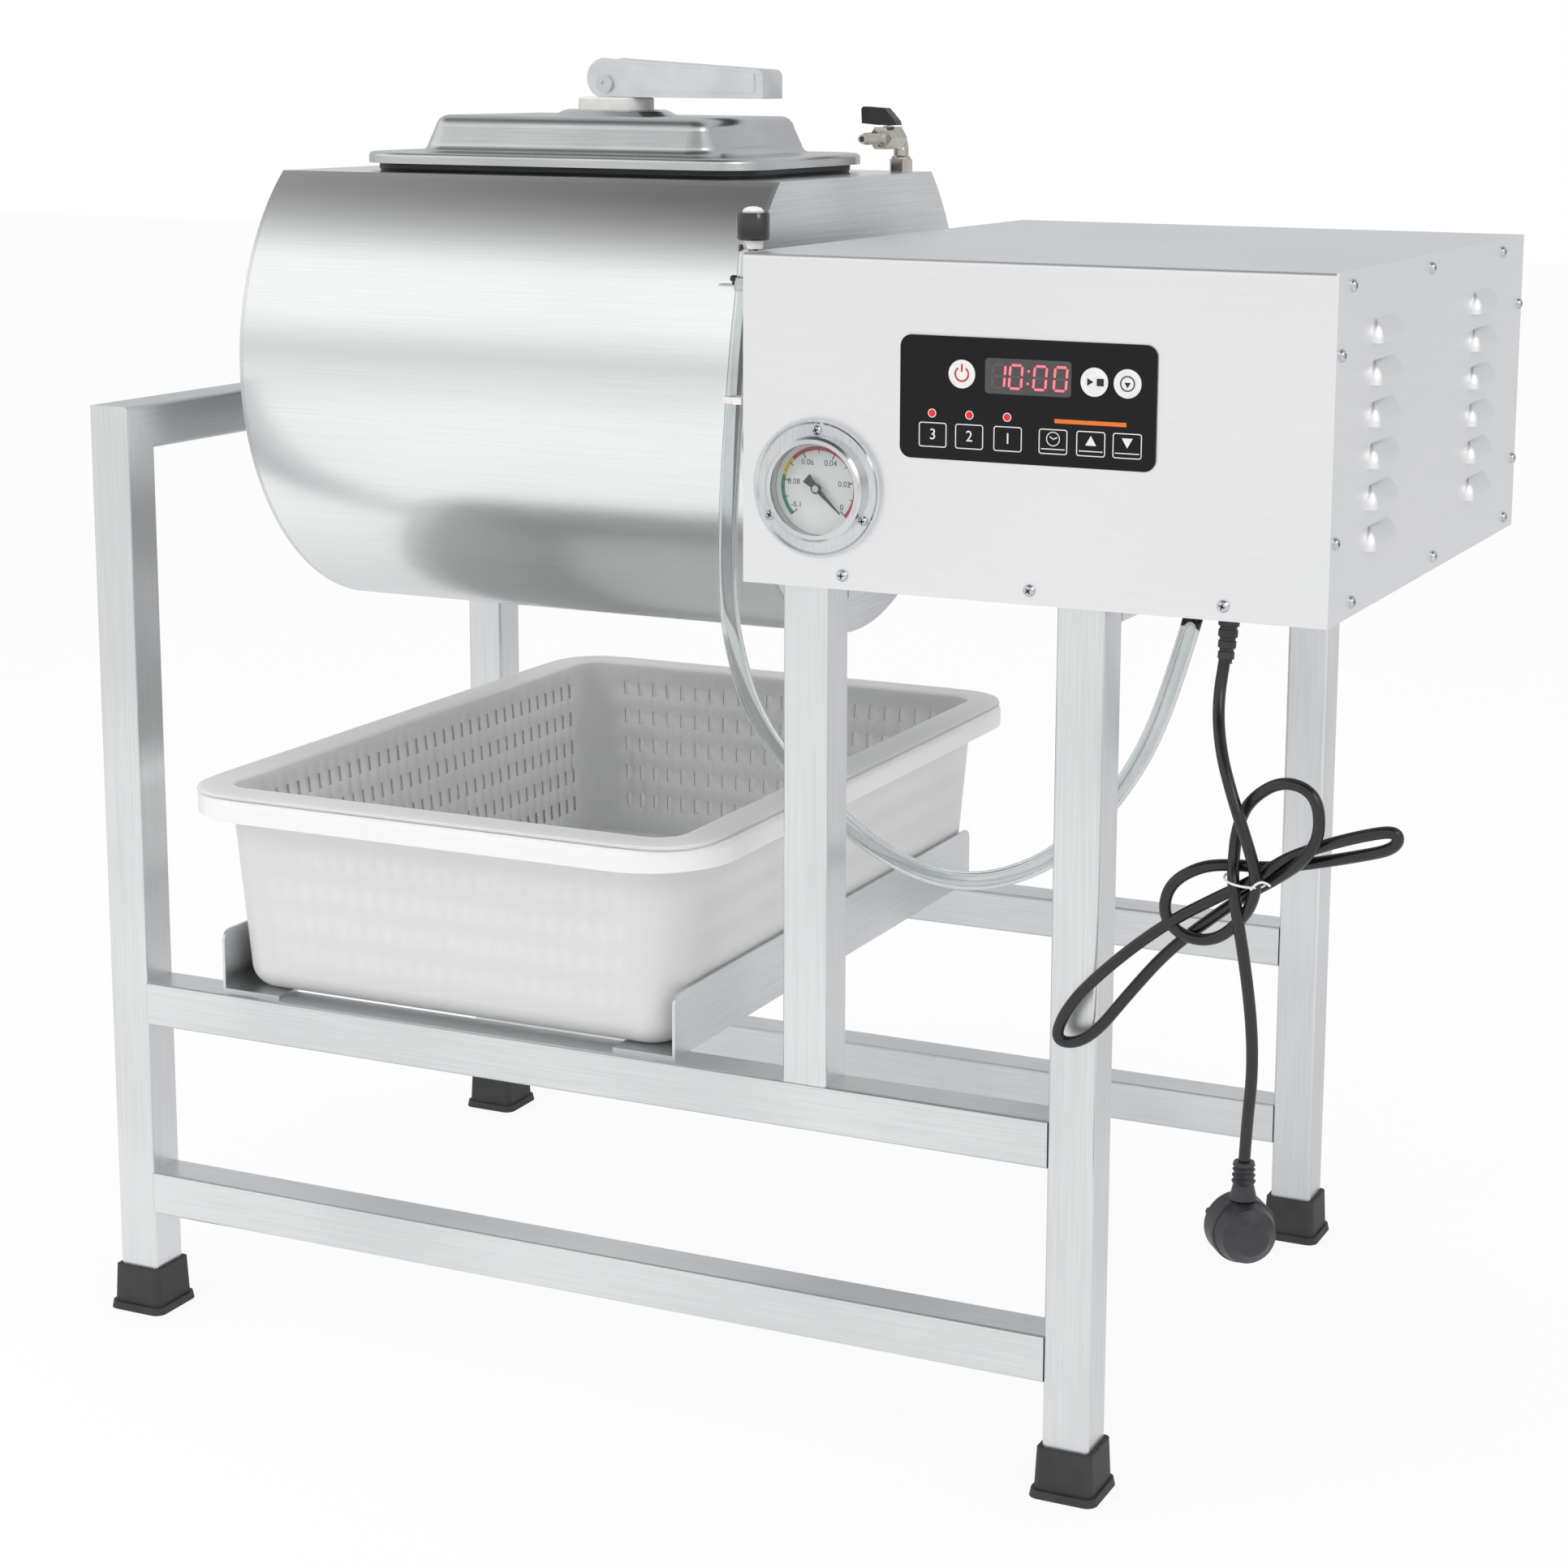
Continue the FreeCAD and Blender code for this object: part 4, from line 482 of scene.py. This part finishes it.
def digitBars(x, z, lit):
    # the seven bars of one digit, a to g, lit or not
    w, h = display["digit"]
    stroke, half = display["stroke"], h / 4
    places = {"a": (0, h / 2, 0), "b": (w / 2, half, 90), "c": (w / 2, -half, 90), "d": (0, -h / 2, 0),
              "e": (-w / 2, -half, 90), "f": (-w / 2, half, 90), "g": (0, 0, 0)}
    bars = []
    for name, (dx, dz, turn) in places.items():
        long = (h / 2 if turn else w) - stroke * display["barGap"]
        bars.append((name in lit, {
            "place": (x + dx + dz * display["slant"], z + dz), "size": (long, stroke),
            "corner": stroke * display["barCorner"], "turn": turn - display["lean"] if turn else 0,
            "thick": display["barThick"]}))
    return bars


panelLayers = {"whitePrint": whiteInk, "redPrint": redInk, "orangePrint": orangeInk, "keySymbols": blackInkAndRecessShade,
               "displayWindow": smokedWindow, "unlitBars": unlitSegment, "litBars": litSegment,
               "indicatorLenses": redLens}


def makeControls():
    c, d = controls, display
    front, onKey, onWindow = c["front"], c["front"] - c["onKey"], c["front"] - d["onWindow"]
    layers = {name: bmesh.new() for name in panelLayers}
    white, red, dark = layers["whitePrint"], layers["redPrint"], layers["keySymbols"]
    for k, x in enumerate(c["keys"]):
        stamp(white, symbols["key"], front, (x, c["keyZ"]))
        if k < 3:
            addNumber(white, str(3 - k), (x, c["keyZ"]), c["numberHeight"], front - c["numberIn"])
        else:
            stamp(white, symbols["underline"], front, (x, c["keyZ"]))
            stamp(white, symbols[("clock", "up", "down")[k - 3]], front, (x, c["keyZ"] + c["symbolUp"]))
    startStop, pump = ((x, c["roundZ"]) for x in c["roundKeys"])
    for middle in (c["power"], startStop, pump):
        stamp(white, symbols["roundKey"], front, middle)
    arcBand(red, c["power"], c["powerArc"], c["powerFrom"], c["powerTo"], onKey)
    stamp(red, symbols["powerBar"], onKey, c["power"])
    stamp(dark, symbols["startStop"], onKey, startStop)
    stamp(dark, symbols["pump"], onKey, pump)
    stamp(layers["orangePrint"], symbols["bar"], front, c["bar"])
    stamp(layers["displayWindow"], symbols["window"], front, d["window"])
    for x, segments in zip(d["digitX"], d["lit"]):
        left = d["oneLeft"] if segments == "bc" else 0
        for on, bar in digitBars(x - left, d["window"][1], segments):
            stamp(layers["litBars" if on else "unlitBars"], [bar], onWindow)
    for dz in (-d["colonUp"], d["colonUp"]):
        stamp(layers["litBars"], [{"size": (d["colonSize"],) * 2, "sides": 12}], onWindow,
              (d["colonX"] + dz * d["slant"], d["window"][1] + dz))
    for x in c["lamps"]:
        stamp(white, symbols["lampRing"], front, (x, c["lampZ"]))
        spinOutline(layers["indicatorLenses"], c["lens"], at(x, front, c["lampZ"]), toFront, 20)
    for name, bm in layers.items():
        finishPiece(name, bm, "machine", panelLayers[name])


makeControls()
print("control panel printed")

gauge = {"centre": (536, 610), "dialY": 0.4, "start": -43, "sweep": 266, "band": (22.6, 25.0),
         "numbers": ("0", "0.02", "0.04", "0.06", "0.08", "-0.1"), "numberR": 16.8, "numberH": 3.5,
         "endTurn": 7, "endOut": 1.6, "divisions": 20, "tickR": 24.6, "tickIn": 0.1,
         "ticks": ((5.2, 0.6), (3.6, 0.5), (1.8, 0.35)), "zones": (0, 0.67, 0.775, 1), "capY": -5.0,
         "cap": [(0, 0), (2.2, 0), (2.2, 0.5), (1.7, 0.9), (0.9, 0.9), (0.7, 0.6), (0, 0.6)]}
dialLayers = {"dialGreen": greenInk, "dialYellow": yellowInk, "dialRed": redInk, "dialNumbers": blackInkAndRecessShade}


def makeDial():
    g = gauge
    y, centre = g["dialY"], g["centre"]
    layers = {name: bmesh.new() for name in dialLayers}
    for name, low, high in zip(("dialRed", "dialYellow", "dialGreen"), g["zones"], g["zones"][1:]):
        arcBand(layers[name], centre, g["band"], g["start"] + low * g["sweep"], g["start"] + high * g["sweep"], y)
    for step in range(g["divisions"] + 1):
        angle = math.radians(g["start"] + g["sweep"] * step / g["divisions"])
        long, wide = g["ticks"][0 if step % 4 == 0 else 1 if step % 2 == 0 else 2]
        middle = g["tickR"] - long / 2
        stamp(layers["dialNumbers"], [{"size": (long, wide), "turn": math.degrees(angle), "thick": 0.1}],
              y - g["tickIn"], (centre[0] + middle * math.cos(angle), centre[1] + middle * math.sin(angle)))
    last = len(g["numbers"]) - 1
    for step, text in enumerate(g["numbers"]):
        inward = g["endTurn"] if step == 0 else -g["endTurn"] if step == last else 0
        angle = math.radians(g["start"] + g["sweep"] * step / last + inward)
        r = g["numberR"] + (g["endOut"] if inward else 0)
        addNumber(layers["dialNumbers"], text,
                  (centre[0] + r * math.cos(angle), centre[1] + r * math.sin(angle)), g["numberH"], y)
    for name, bm in layers.items():
        finishPiece(name, bm, "machine", dialLayers[name])
    cap = bmesh.new()  # turned cap on the needle's spindle
    spinOutline(cap, g["cap"], at(centre[0], g["capY"], centre[1]), toFront, 24)
    finishPiece("needleCap", cap, "needle", zincSteel)


makeDial()
print("dial printed")

basket = {"centre": (262, 256), "floor": (328, 484), "floorZ": 245.5, "play": 5.5, "corner": 18.5,
          "cornerSteps": 6, "rimZ": 380.3, "wall": 2.0, "taper": 12.0, "pitch": 12.0, "slot": 4.2, "slotH": 11.0,
          "rowPitch": 22.5, "rows": 5, "firstRow": 20.0, "foot": (3.0, 10.0), "underRim": 1.0, "rimCorner": 24,
          "rimSteps": ((1.0, 1.0), (19.5, 0), (2.0, -0.4), (0.5, -1.6)), "footSteps": ((-2.0, -1.4), (-5.0, -1.0)),
          "drainIn": 6, "drainDown": 2.6, "drainCell": (24, 16), "drainBorder": 20, "drainRib": 5.5}


def roundedLoop(bm, half):
    # a closed loop of edges round the basket, with a pair of points for each slot column
    corner, pitch, steps = basket["corner"], basket["pitch"], basket["cornerSteps"]
    points = []
    for sx, sy, lead in ((1, -1, 0), (1, 1, 1), (-1, 1, 2), (-1, -1, 3)):
        cx, cy = sx * (half[0] - corner), sy * (half[1] - corner)
        for k in range(steps + 1):
            a = math.radians(-90 + 90 * lead + 90 / steps * k)
            points.append((cx + corner * math.cos(a), cy + corner * math.sin(a), False))
        run = 2 * ((half[1] if lead % 2 == 0 else half[0]) - corner)
        count = int(run // pitch) - 1
        ux, uy = ((0, 1), (-1, 0), (0, -1), (1, 0))[lead]
        ex, ey = points[-1][:2]
        lay = (run - (count - 1) * pitch) / 2
        for k in range(count):
            for side in (-basket["slot"] / 2, basket["slot"] / 2):
                d = lay + k * pitch + side
                points.append((ex + ux * d, ey + uy * d, side < 0))
    cx, cy = basket["centre"]
    verts = [bm.verts.new(at(cx + x, cy + y, basket["floorZ"])) for x, y, _ in points]
    edges = [bm.edges.new(pair) for pair in zip(verts, verts[1:] + verts[:1])]
    return edges, {edge for edge, point in zip(edges, points) if point[2]}


def growRing(bm, edges):
    made = bmesh.ops.extrude_edge_only(bm, edges=edges)["geom"]
    return [ofKind(made, kind) for kind in (bmesh.types.BMVert, bmesh.types.BMEdge, bmesh.types.BMFace)]


def shiftRing(verts, centre, straight, out, up):
    # moves a ring square to its own outline, in mm
    for v in verts:
        dx, dy = (v.co.x - centre.x) * 1000, (v.co.y - centre.y) * 1000
        nx = math.copysign(max(abs(dx) - straight[0], 0), dx)
        ny = math.copysign(max(abs(dy) - straight[1], 0), dy)
        reach = max(math.hypot(nx, ny), 1e-6)
        v.co += Vector((nx / reach * out, ny / reach * out, up)) / 1000


def raiseWalls(bm, ring, columns, centre):
    # rows of faces up the sides, with the faces of the slots left out
    b = basket
    height = b["rimZ"] - b["floorZ"]
    levels = [(z, False) for z in b["foot"]]
    for row in range(b["rows"]):
        low = b["firstRow"] + row * b["rowPitch"]
        levels += [(low, False), (low + b["slotH"], True)]
    levels.append((height - b["underRim"], False))
    holes, z0 = [], 0.0
    for z, isSlot in levels:
        verts, ring, faces = growRing(bm, ring)
        lean = (z - z0) * b["taper"] / height
        outer = [max(v.co[axis] for v in verts) - centre[axis] for axis in (0, 1)]
        for v in verts:
            dx, dy = v.co.x - centre.x, v.co.y - centre.y
            v.co = (centre.x + dx * (1 + lean / 1000 / outer[0]), centre.y + dy * (1 + lean / 1000 / outer[1]),
                    v.co.z + (z - z0) / 1000)
        inColumn = [face for face in faces if any(edge in columns for edge in face.edges)]
        if isSlot:
            holes += inColumn
        made = set(ring)
        columns = {edge for face in inColumn for edge in face.edges if edge in made}
        z0 = z
    bmesh.ops.delete(bm, geom=holes, context="FACES_ONLY")
    bmesh.ops.delete(bm, geom=[edge for edge in bm.edges if not edge.link_faces], context="EDGES")
    return ring


def makeDrain(half, centre):
    # the floor's grid of slots
    b = basket
    across, along = half[0] - b["drainIn"], half[1] - b["drainIn"]
    bm = bmesh.new()
    bmesh.ops.create_grid(bm, x_segments=int(2 * across // b["drainCell"][0]),
                          y_segments=int(2 * along // b["drainCell"][1]), size=0.5)
    bmesh.ops.scale(bm, vec=(2 * across / 1000, 2 * along / 1000, 1), verts=bm.verts[:])
    inner = []
    for face in bm.faces:
        middle = face.calc_center_median() * 1000
        if abs(middle.x) < across - b["drainBorder"] and abs(middle.y) < along - b["drainBorder"]:
            inner.append(face)
    bmesh.ops.inset_individual(bm, faces=inner, thickness=b["drainRib"] / 1000)
    bmesh.ops.delete(bm, geom=inner, context="FACES_ONLY")
    bmesh.ops.translate(bm, vec=at(*b["centre"], b["floorZ"] - b["drainDown"]), verts=bm.verts[:])
    return finishPiece("basketFloor", bm, "basket", milkyPoly)


def makeBasket():
    b = basket
    bm = bmesh.new()
    centre = at(*b["centre"], 0)
    half = [side / 2 - b["play"] for side in b["floor"]]
    foot, columns = roundedLoop(bm, half)
    top = raiseWalls(bm, foot, columns, centre)
    rimStraight = [side / 2 - b["rimCorner"] for side in b["floor"]]  # the rim is turned out and rolled down
    footStraight = [side - b["corner"] for side in half]
    for ring, straight, steps in ((top, rimStraight, b["rimSteps"]), (foot, footStraight, b["footSteps"])):
        ring = [edge for edge in ring if edge.is_valid]
        for out, up in steps:
            verts, ring, _ = growRing(bm, ring)
            shiftRing(verts, centre, straight, out, up)
    walls = finishPiece("slottedBasket", bm, "basket", milkyPoly)
    for piece in (walls, makeDrain(half, centre)):
        skin = piece.modifiers.new("skin", "SOLIDIFY")
        skin.thickness, skin.offset = b["wall"] / 1000, 0
    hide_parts("inner_basket")


makeBasket()
print("basket pierced")

screwHeads = {"front": -1.5, "frontX": (552, 671.5, 789), "lowZ": 558.5, "highZ": 739.5, "right": 850,
              "rightHighY": (27, 202, 388), "rightLowY": (45, 232, 423), "rightEndY": (8.5, 441.5),
              "rightEndZ": (597, 702), "back": 450, "backX": (596, 790), "flange": -3.5, "flangeR": 35,
              "flangeTurn": (90, 210, 330), "height": 2.4}
screwCross = {"size": (3.7, 0.85), "corner": 0.3, "thick": 0.3, "proud": 0.04, "turnStep": 37}


def makeCrosses():
    # the driver recess of each pan head screw, shown as a flat black cross: painted shade in the recess
    s, cross = screwHeads, screwCross
    low, high, (gaugeX, gaugeZ) = s["lowZ"], s["highZ"], gauge["centre"]
    spots = [(at(x, s["front"], low), toFront) for x in s["frontX"]]
    for turn in s["flangeTurn"]:
        a = math.radians(turn)
        spots.append((at(gaugeX + s["flangeR"] * math.cos(a), s["flange"], gaugeZ + s["flangeR"] * math.sin(a)),
                      toFront))
    spots += [(at(s["right"], y, high), toRight) for y in s["rightHighY"]]
    spots += [(at(s["right"], y, low), toRight) for y in s["rightLowY"]]
    spots += [(at(s["right"], y, z), toRight) for y in s["rightEndY"] for z in s["rightEndZ"]]
    spots += [(at(x, s["back"], z), -toFront) for x in s["backX"] for z in (low, high)]
    bm = bmesh.new()
    for k, (spot, out) in enumerate(spots):
        facing = out.to_track_quat("Z", "Y").to_matrix().to_4x4()
        for quarter in (0, 90):
            turn = Matrix.Rotation(math.radians(cross["turnStep"] * k + quarter), 4, "Z")
            addPart(bm, flatShape(cross["size"], cross["corner"], thick=cross["thick"]),
                    spot + out * (s["height"] - cross["thick"] + cross["proud"]) / 1000, facing @ turn)
    finishPiece("screwRecessShade", bm, "machine", blackInkAndRecessShade)


makeCrosses()
print("screws crossed")

hoseEnd = {"foot": (483, 18, 749.0),
           "core": [(0, 0), (5.6, 0), (6.0, 1.0), (6.0, 6), (5.2, 8), (5.2, 20), (6.4, 21.2), (6.4, 22.6),
                    (5.0, 24.2), (2.5, 25), (0, 25.2)],
           "shell": [(5.3, 5.2), (9.6, 5.2), (10.2, 6.0), (10.2, 20.4), (9.6, 21.6), (5.3, 21.6), (5.3, 5.2)]}
# the tabs of each band: size, corner, thickness, place from the band's foot
clip = {"centre": (478.8, 16), "foot": 724.0, "height": 8.0, "inside": 6.05, "wall": 1.1,
        "tabs": (((14, 8), 2.6, 1.2, (-9.5, -1, 2.4)), ((9, 6), 1.0, 1.2, (3, -5, 2.4))),
        "knobAt": (-5.6, -4, 3.4), "knob": [(0, 0), (1.2, 0), (1.2, 2), (2.4, 2.6), (2.6, 4.2), (1.8, 5.6), (0, 6)]}
tie = {"centre": (476, 7.2), "foot": 657.0, "height": 4.0, "inside": 6.05, "wall": 1.2,
       "tabs": (((6, 5), 0.8, 4.2, (5.4, -5.6, -0.1)),)}
bandEdge = 0.3
strain = {"gland": (786, 22, 554), "towards": (785, 20, 530), "long": 32.0, "rings": 5, "big": 6.6, "small": 4.4,
          "groove": 1.1, "ringEnd": 0.62, "grooveStart": 0.7, "grooveEnd": 0.97, "mouth": 0.2}
wire = {"radius": 0.7, "foot": 403, "climb": 0.8,
        "loop": ((824, -15), (820, -27), (808, -28), (799, -20), (798, -8), (806, -1), (818, -3)),
        "tail": ((818, -27, 403), (821, -29, 407), (826, -28, 409), (829, -26, 406))}


def makeHoseEnd():
    foot = at(*hoseEnd["foot"])
    core, shell = bmesh.new(), bmesh.new()
    spinOutline(core, hoseEnd["core"], foot, upward, 40)
    spinOutline(shell, hoseEnd["shell"], foot, upward, 48)
    coupling = finishPiece("hoseCoupling", shell, "machine", glossAbs)
    inner = finishPiece("couplingCore", core, "machine", whiteNylon)
    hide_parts("hose_connector")
    return coupling, inner


def makeBand(name, spec, material):
    # a flat band round the hose with tabs to the cabinet's side
    bm = bmesh.new()
    x, y = spec["centre"]
    inside, outside, h, edge = spec["inside"], spec["inside"] + spec["wall"], spec["height"], bandEdge
    spinOutline(bm, [(inside, edge), (inside + edge, 0), (outside - edge, 0), (outside, edge), (outside, h - edge),
                     (outside - edge, h), (inside + edge, h), (inside, h - edge), (inside, edge)],
                at(x, y, spec["foot"]), upward, 40)
    bmesh.ops.recalc_face_normals(bm, faces=bm.faces[:])
    for size, corner, thick, (dx, dy, dz) in spec["tabs"]:
        addPart(bm, flatShape(size, corner, thick=thick), at(x + dx, y + dy, spec["foot"] + dz))
    return finishPiece(name, bm, "machine", material)


def makeHoseHolders():
    saddle = makeBand("wingClip", clip, zincSteel)
    knob = bmesh.new()
    (x, y), (dx, dy, dz) = clip["centre"], clip["knobAt"]
    spinOutline(knob, clip["knob"], at(x + dx, y + dy, clip["foot"] + dz), upward, 20)
    knobPiece = finishPiece("clipKnob", knob, "machine", blackAbs)
    band = makeBand("hoseTie", tie, whiteNylon)
    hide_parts("hose_clips")
    return saddle, knobPiece, band


def makeStrainRelief():
    # a tapered ribbed sleeve under the cord's gland
    s = strain
    start, end = at(*s["gland"]), at(*s["towards"])
    pitch = s["long"] / s["rings"]
    outline = [(0, 0)]
    for ring in range(s["rings"]):
        r = s["big"] + (s["small"] - s["big"]) * ring / s["rings"]
        z = ring * pitch
        outline += [(r, z), (r, z + pitch * s["ringEnd"]), (r - s["groove"], z + pitch * s["grooveStart"]),
                    (r - s["groove"], z + pitch * s["grooveEnd"])]
    outline += [(s["small"] - s["mouth"], s["long"]), (0, s["long"])]
    bm = bmesh.new()
    spinOutline(bm, outline, start, end - start)
    piece = finishPiece("strainRelief", bm, "machine", plugVinyl)
    return piece


def makeTieWire():
    # the thin wire twisted round the folded cord
    curve = bpy.data.curves.new("tieWire", "CURVE")
    curve.dimensions = "3D"
    addLine(curve, [(x, y, wire["foot"] + wire["climb"] * k) for k, (x, y) in enumerate(wire["loop"])], True)
    addLine(curve, wire["tail"])
    curve.bevel_depth, curve.bevel_resolution, curve.use_fill_caps = wire["radius"] / 1000, 3, True
    curve.materials.append(whiteNylon)
    piece = bpy.data.objects.new("tieWire", curve)
    bpy.context.scene.collection.objects.link(piece)
    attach(piece, "machine")
    return piece


hosePieces = [*makeHoseEnd(), *makeHoseHolders()]
cordPieces = [nodes["power_plug"], makeStrainRelief(), makeTieWire()]
print("hose and cord fitted")

light = {"floor": "#FFFFFF", "floorReach": 12, "world": "#FFFFFF", "worldStrength": 0.8, "behind": "#D4D5D6",
         "floorGreyFrom": -0.45, "floorGreyTo": 0.5, "skyGreyFrom": -0.1, "skyGreyTo": 0.45,
         "floorGlow": 0.6, "floorGlowSeen": 0.86}
# how bright polished metal sees the studio from straight down (0) to straight up (1)
studioRamp = ((0.0, 0.9), (0.48, 0.85), (0.53, 0.7), (0.58, 0.95), (0.64, 1.1), (0.8, 1.1), (0.88, 0.45),
              (0.94, 0.12))
lamps = {
    "frontLight": {"place": (-900, -1800, 2000), "target": (424, 243, 500), "side": 1.6, "power": 14,
                   "mirrored": False},
    "rightLight": {"place": (2500, -850, 2000), "target": (300, 200, 800), "side": 0.9, "power": 9,
                   "mirrored": True},
    "topLight": {"place": (424, 243, 2600), "target": (424, 243, 0), "side": 2.2, "power": 7, "mirrored": False}}


def smoothRamp(tree, value, low, high):
    return addNode(tree, "MapRange", {"interpolation_type": "SMOOTHSTEP"}, {"From Min": low, "From Max": high},
                   {"Value": value}).outputs[0]


def makeStage():
    mesh = bpy.data.meshes.new("floor")
    bm = bmesh.new()
    bmesh.ops.create_grid(bm, x_segments=1, y_segments=1, size=light["floorReach"])
    bm.to_mesh(mesh)
    bm.free()
    floor = bpy.data.objects.new("floor", mesh)
    bpy.context.scene.collection.objects.link(floor)
    material = bpy.data.materials.new("paleFloor")
    material.use_nodes = True
    tree = material.node_tree
    tree.nodes.clear()
    diffuse = addNode(tree, "BsdfDiffuse", inputs={"Color": hexColour(light["floor"])})
    # polished metal sees a greyer studio behind the object than in front of it
    coords = addNode(tree, "TexCoord")
    split = addNode(tree, "SeparateXYZ", links={0: coords.outputs["Object"]})
    rays = addNode(tree, "LightPath")
    depth = smoothRamp(tree, split.outputs["Y"], light["floorGreyFrom"], light["floorGreyTo"])
    behind = addNode(tree, "Math", {"operation": "MULTIPLY"}, links={0: depth, 1: rays.outputs["Is Glossy Ray"]})
    tint = addNode(tree, "Mix", {"data_type": "RGBA"}, links={0: behind.outputs[0]})
    tint.inputs[6].default_value = (1, 1, 1, 1)
    tint.inputs[7].default_value = hexColour(light["behind"])
    glow = addNode(tree, "Emission", inputs={"Strength": 1.0}, links={"Color": tint.outputs[2]})
    # the camera sees it nearly white, with the object's shadow left in it
    share = addNode(tree, "MapRange", inputs={"To Min": light["floorGlow"], "To Max": light["floorGlowSeen"]},
                    links={"Value": rays.outputs["Is Camera Ray"]})
    mix = addNode(tree, "MixShader", links={0: share.outputs[0], 1: diffuse.outputs[0], 2: glow.outputs[0]})
    addNode(tree, "OutputMaterial", links={"Surface": mix.outputs[0]})
    mesh.materials.append(material)


def makeWorld():
    world = bpy.data.worlds.new("studio")
    bpy.context.scene.world = world
    world.use_nodes = True
    tree = world.node_tree
    tree.nodes.clear()
    coords = addNode(tree, "TexCoord")
    split = addNode(tree, "SeparateXYZ", links={0: coords.outputs["Generated"]})
    height = addNode(tree, "MapRange", inputs={"From Min": -1, "From Max": 1}, links={"Value": split.outputs["Z"]})
    ramp = addNode(tree, "ValToRGB", links={"Fac": height.outputs[0]})
    elements = ramp.color_ramp.elements
    while len(elements) < len(studioRamp):
        elements.new(0.5)
    for element, (place, value) in zip(elements, studioRamp):
        element.position, element.color = place, (value, value, value, 1)
    back = smoothRamp(tree, split.outputs["Y"], light["skyGreyFrom"], light["skyGreyTo"])
    studio = addNode(tree, "Mix", {"data_type": "RGBA"}, links={0: back, 6: ramp.outputs["Color"]})
    studio.inputs[7].default_value = hexColour(light["behind"])
    rays = addNode(tree, "LightPath")
    plain = addNode(tree, "Background", inputs={"Color": hexColour(light["world"]),
                                                "Strength": light["worldStrength"]})
    mirrored = addNode(tree, "Background", inputs={"Strength": 1.0}, links={"Color": studio.outputs[2]})
    white = addNode(tree, "Background", inputs={"Color": (1, 1, 1, 1), "Strength": 1.0})
    unseen = addNode(tree, "MixShader", links={0: rays.outputs["Is Glossy Ray"], 1: plain.outputs[0],
                                               2: mirrored.outputs[0]})
    seen = addNode(tree, "Math", {"operation": "MAXIMUM"}, links={0: rays.outputs["Is Camera Ray"],
                                                                   1: rays.outputs["Is Transmission Ray"]})
    both = addNode(tree, "MixShader", links={0: seen.outputs[0], 1: unseen.outputs[0], 2: white.outputs[0]})
    addNode(tree, "OutputWorld", links={"Surface": both.outputs[0]})


def makeLamp(name, spec):
    data = bpy.data.lights.new(name, "AREA")
    data.shape = "RECTANGLE"
    data.size = data.size_y = spec["side"]
    data.energy = spec["power"]
    lamp = bpy.data.objects.new(name, data)
    lamp.location = at(*spec["place"])
    lamp.visible_glossy = spec["mirrored"]
    lamp.rotation_euler = (at(*spec["target"]) - lamp.location).to_track_quat("-Z", "Y").to_euler()
    bpy.context.scene.collection.objects.link(lamp)


makeStage()
makeWorld()
for name, spec in lamps.items():
    makeLamp(name, spec)
print("studio lit")

bpy.context.scene.view_settings.view_transform = "Standard"
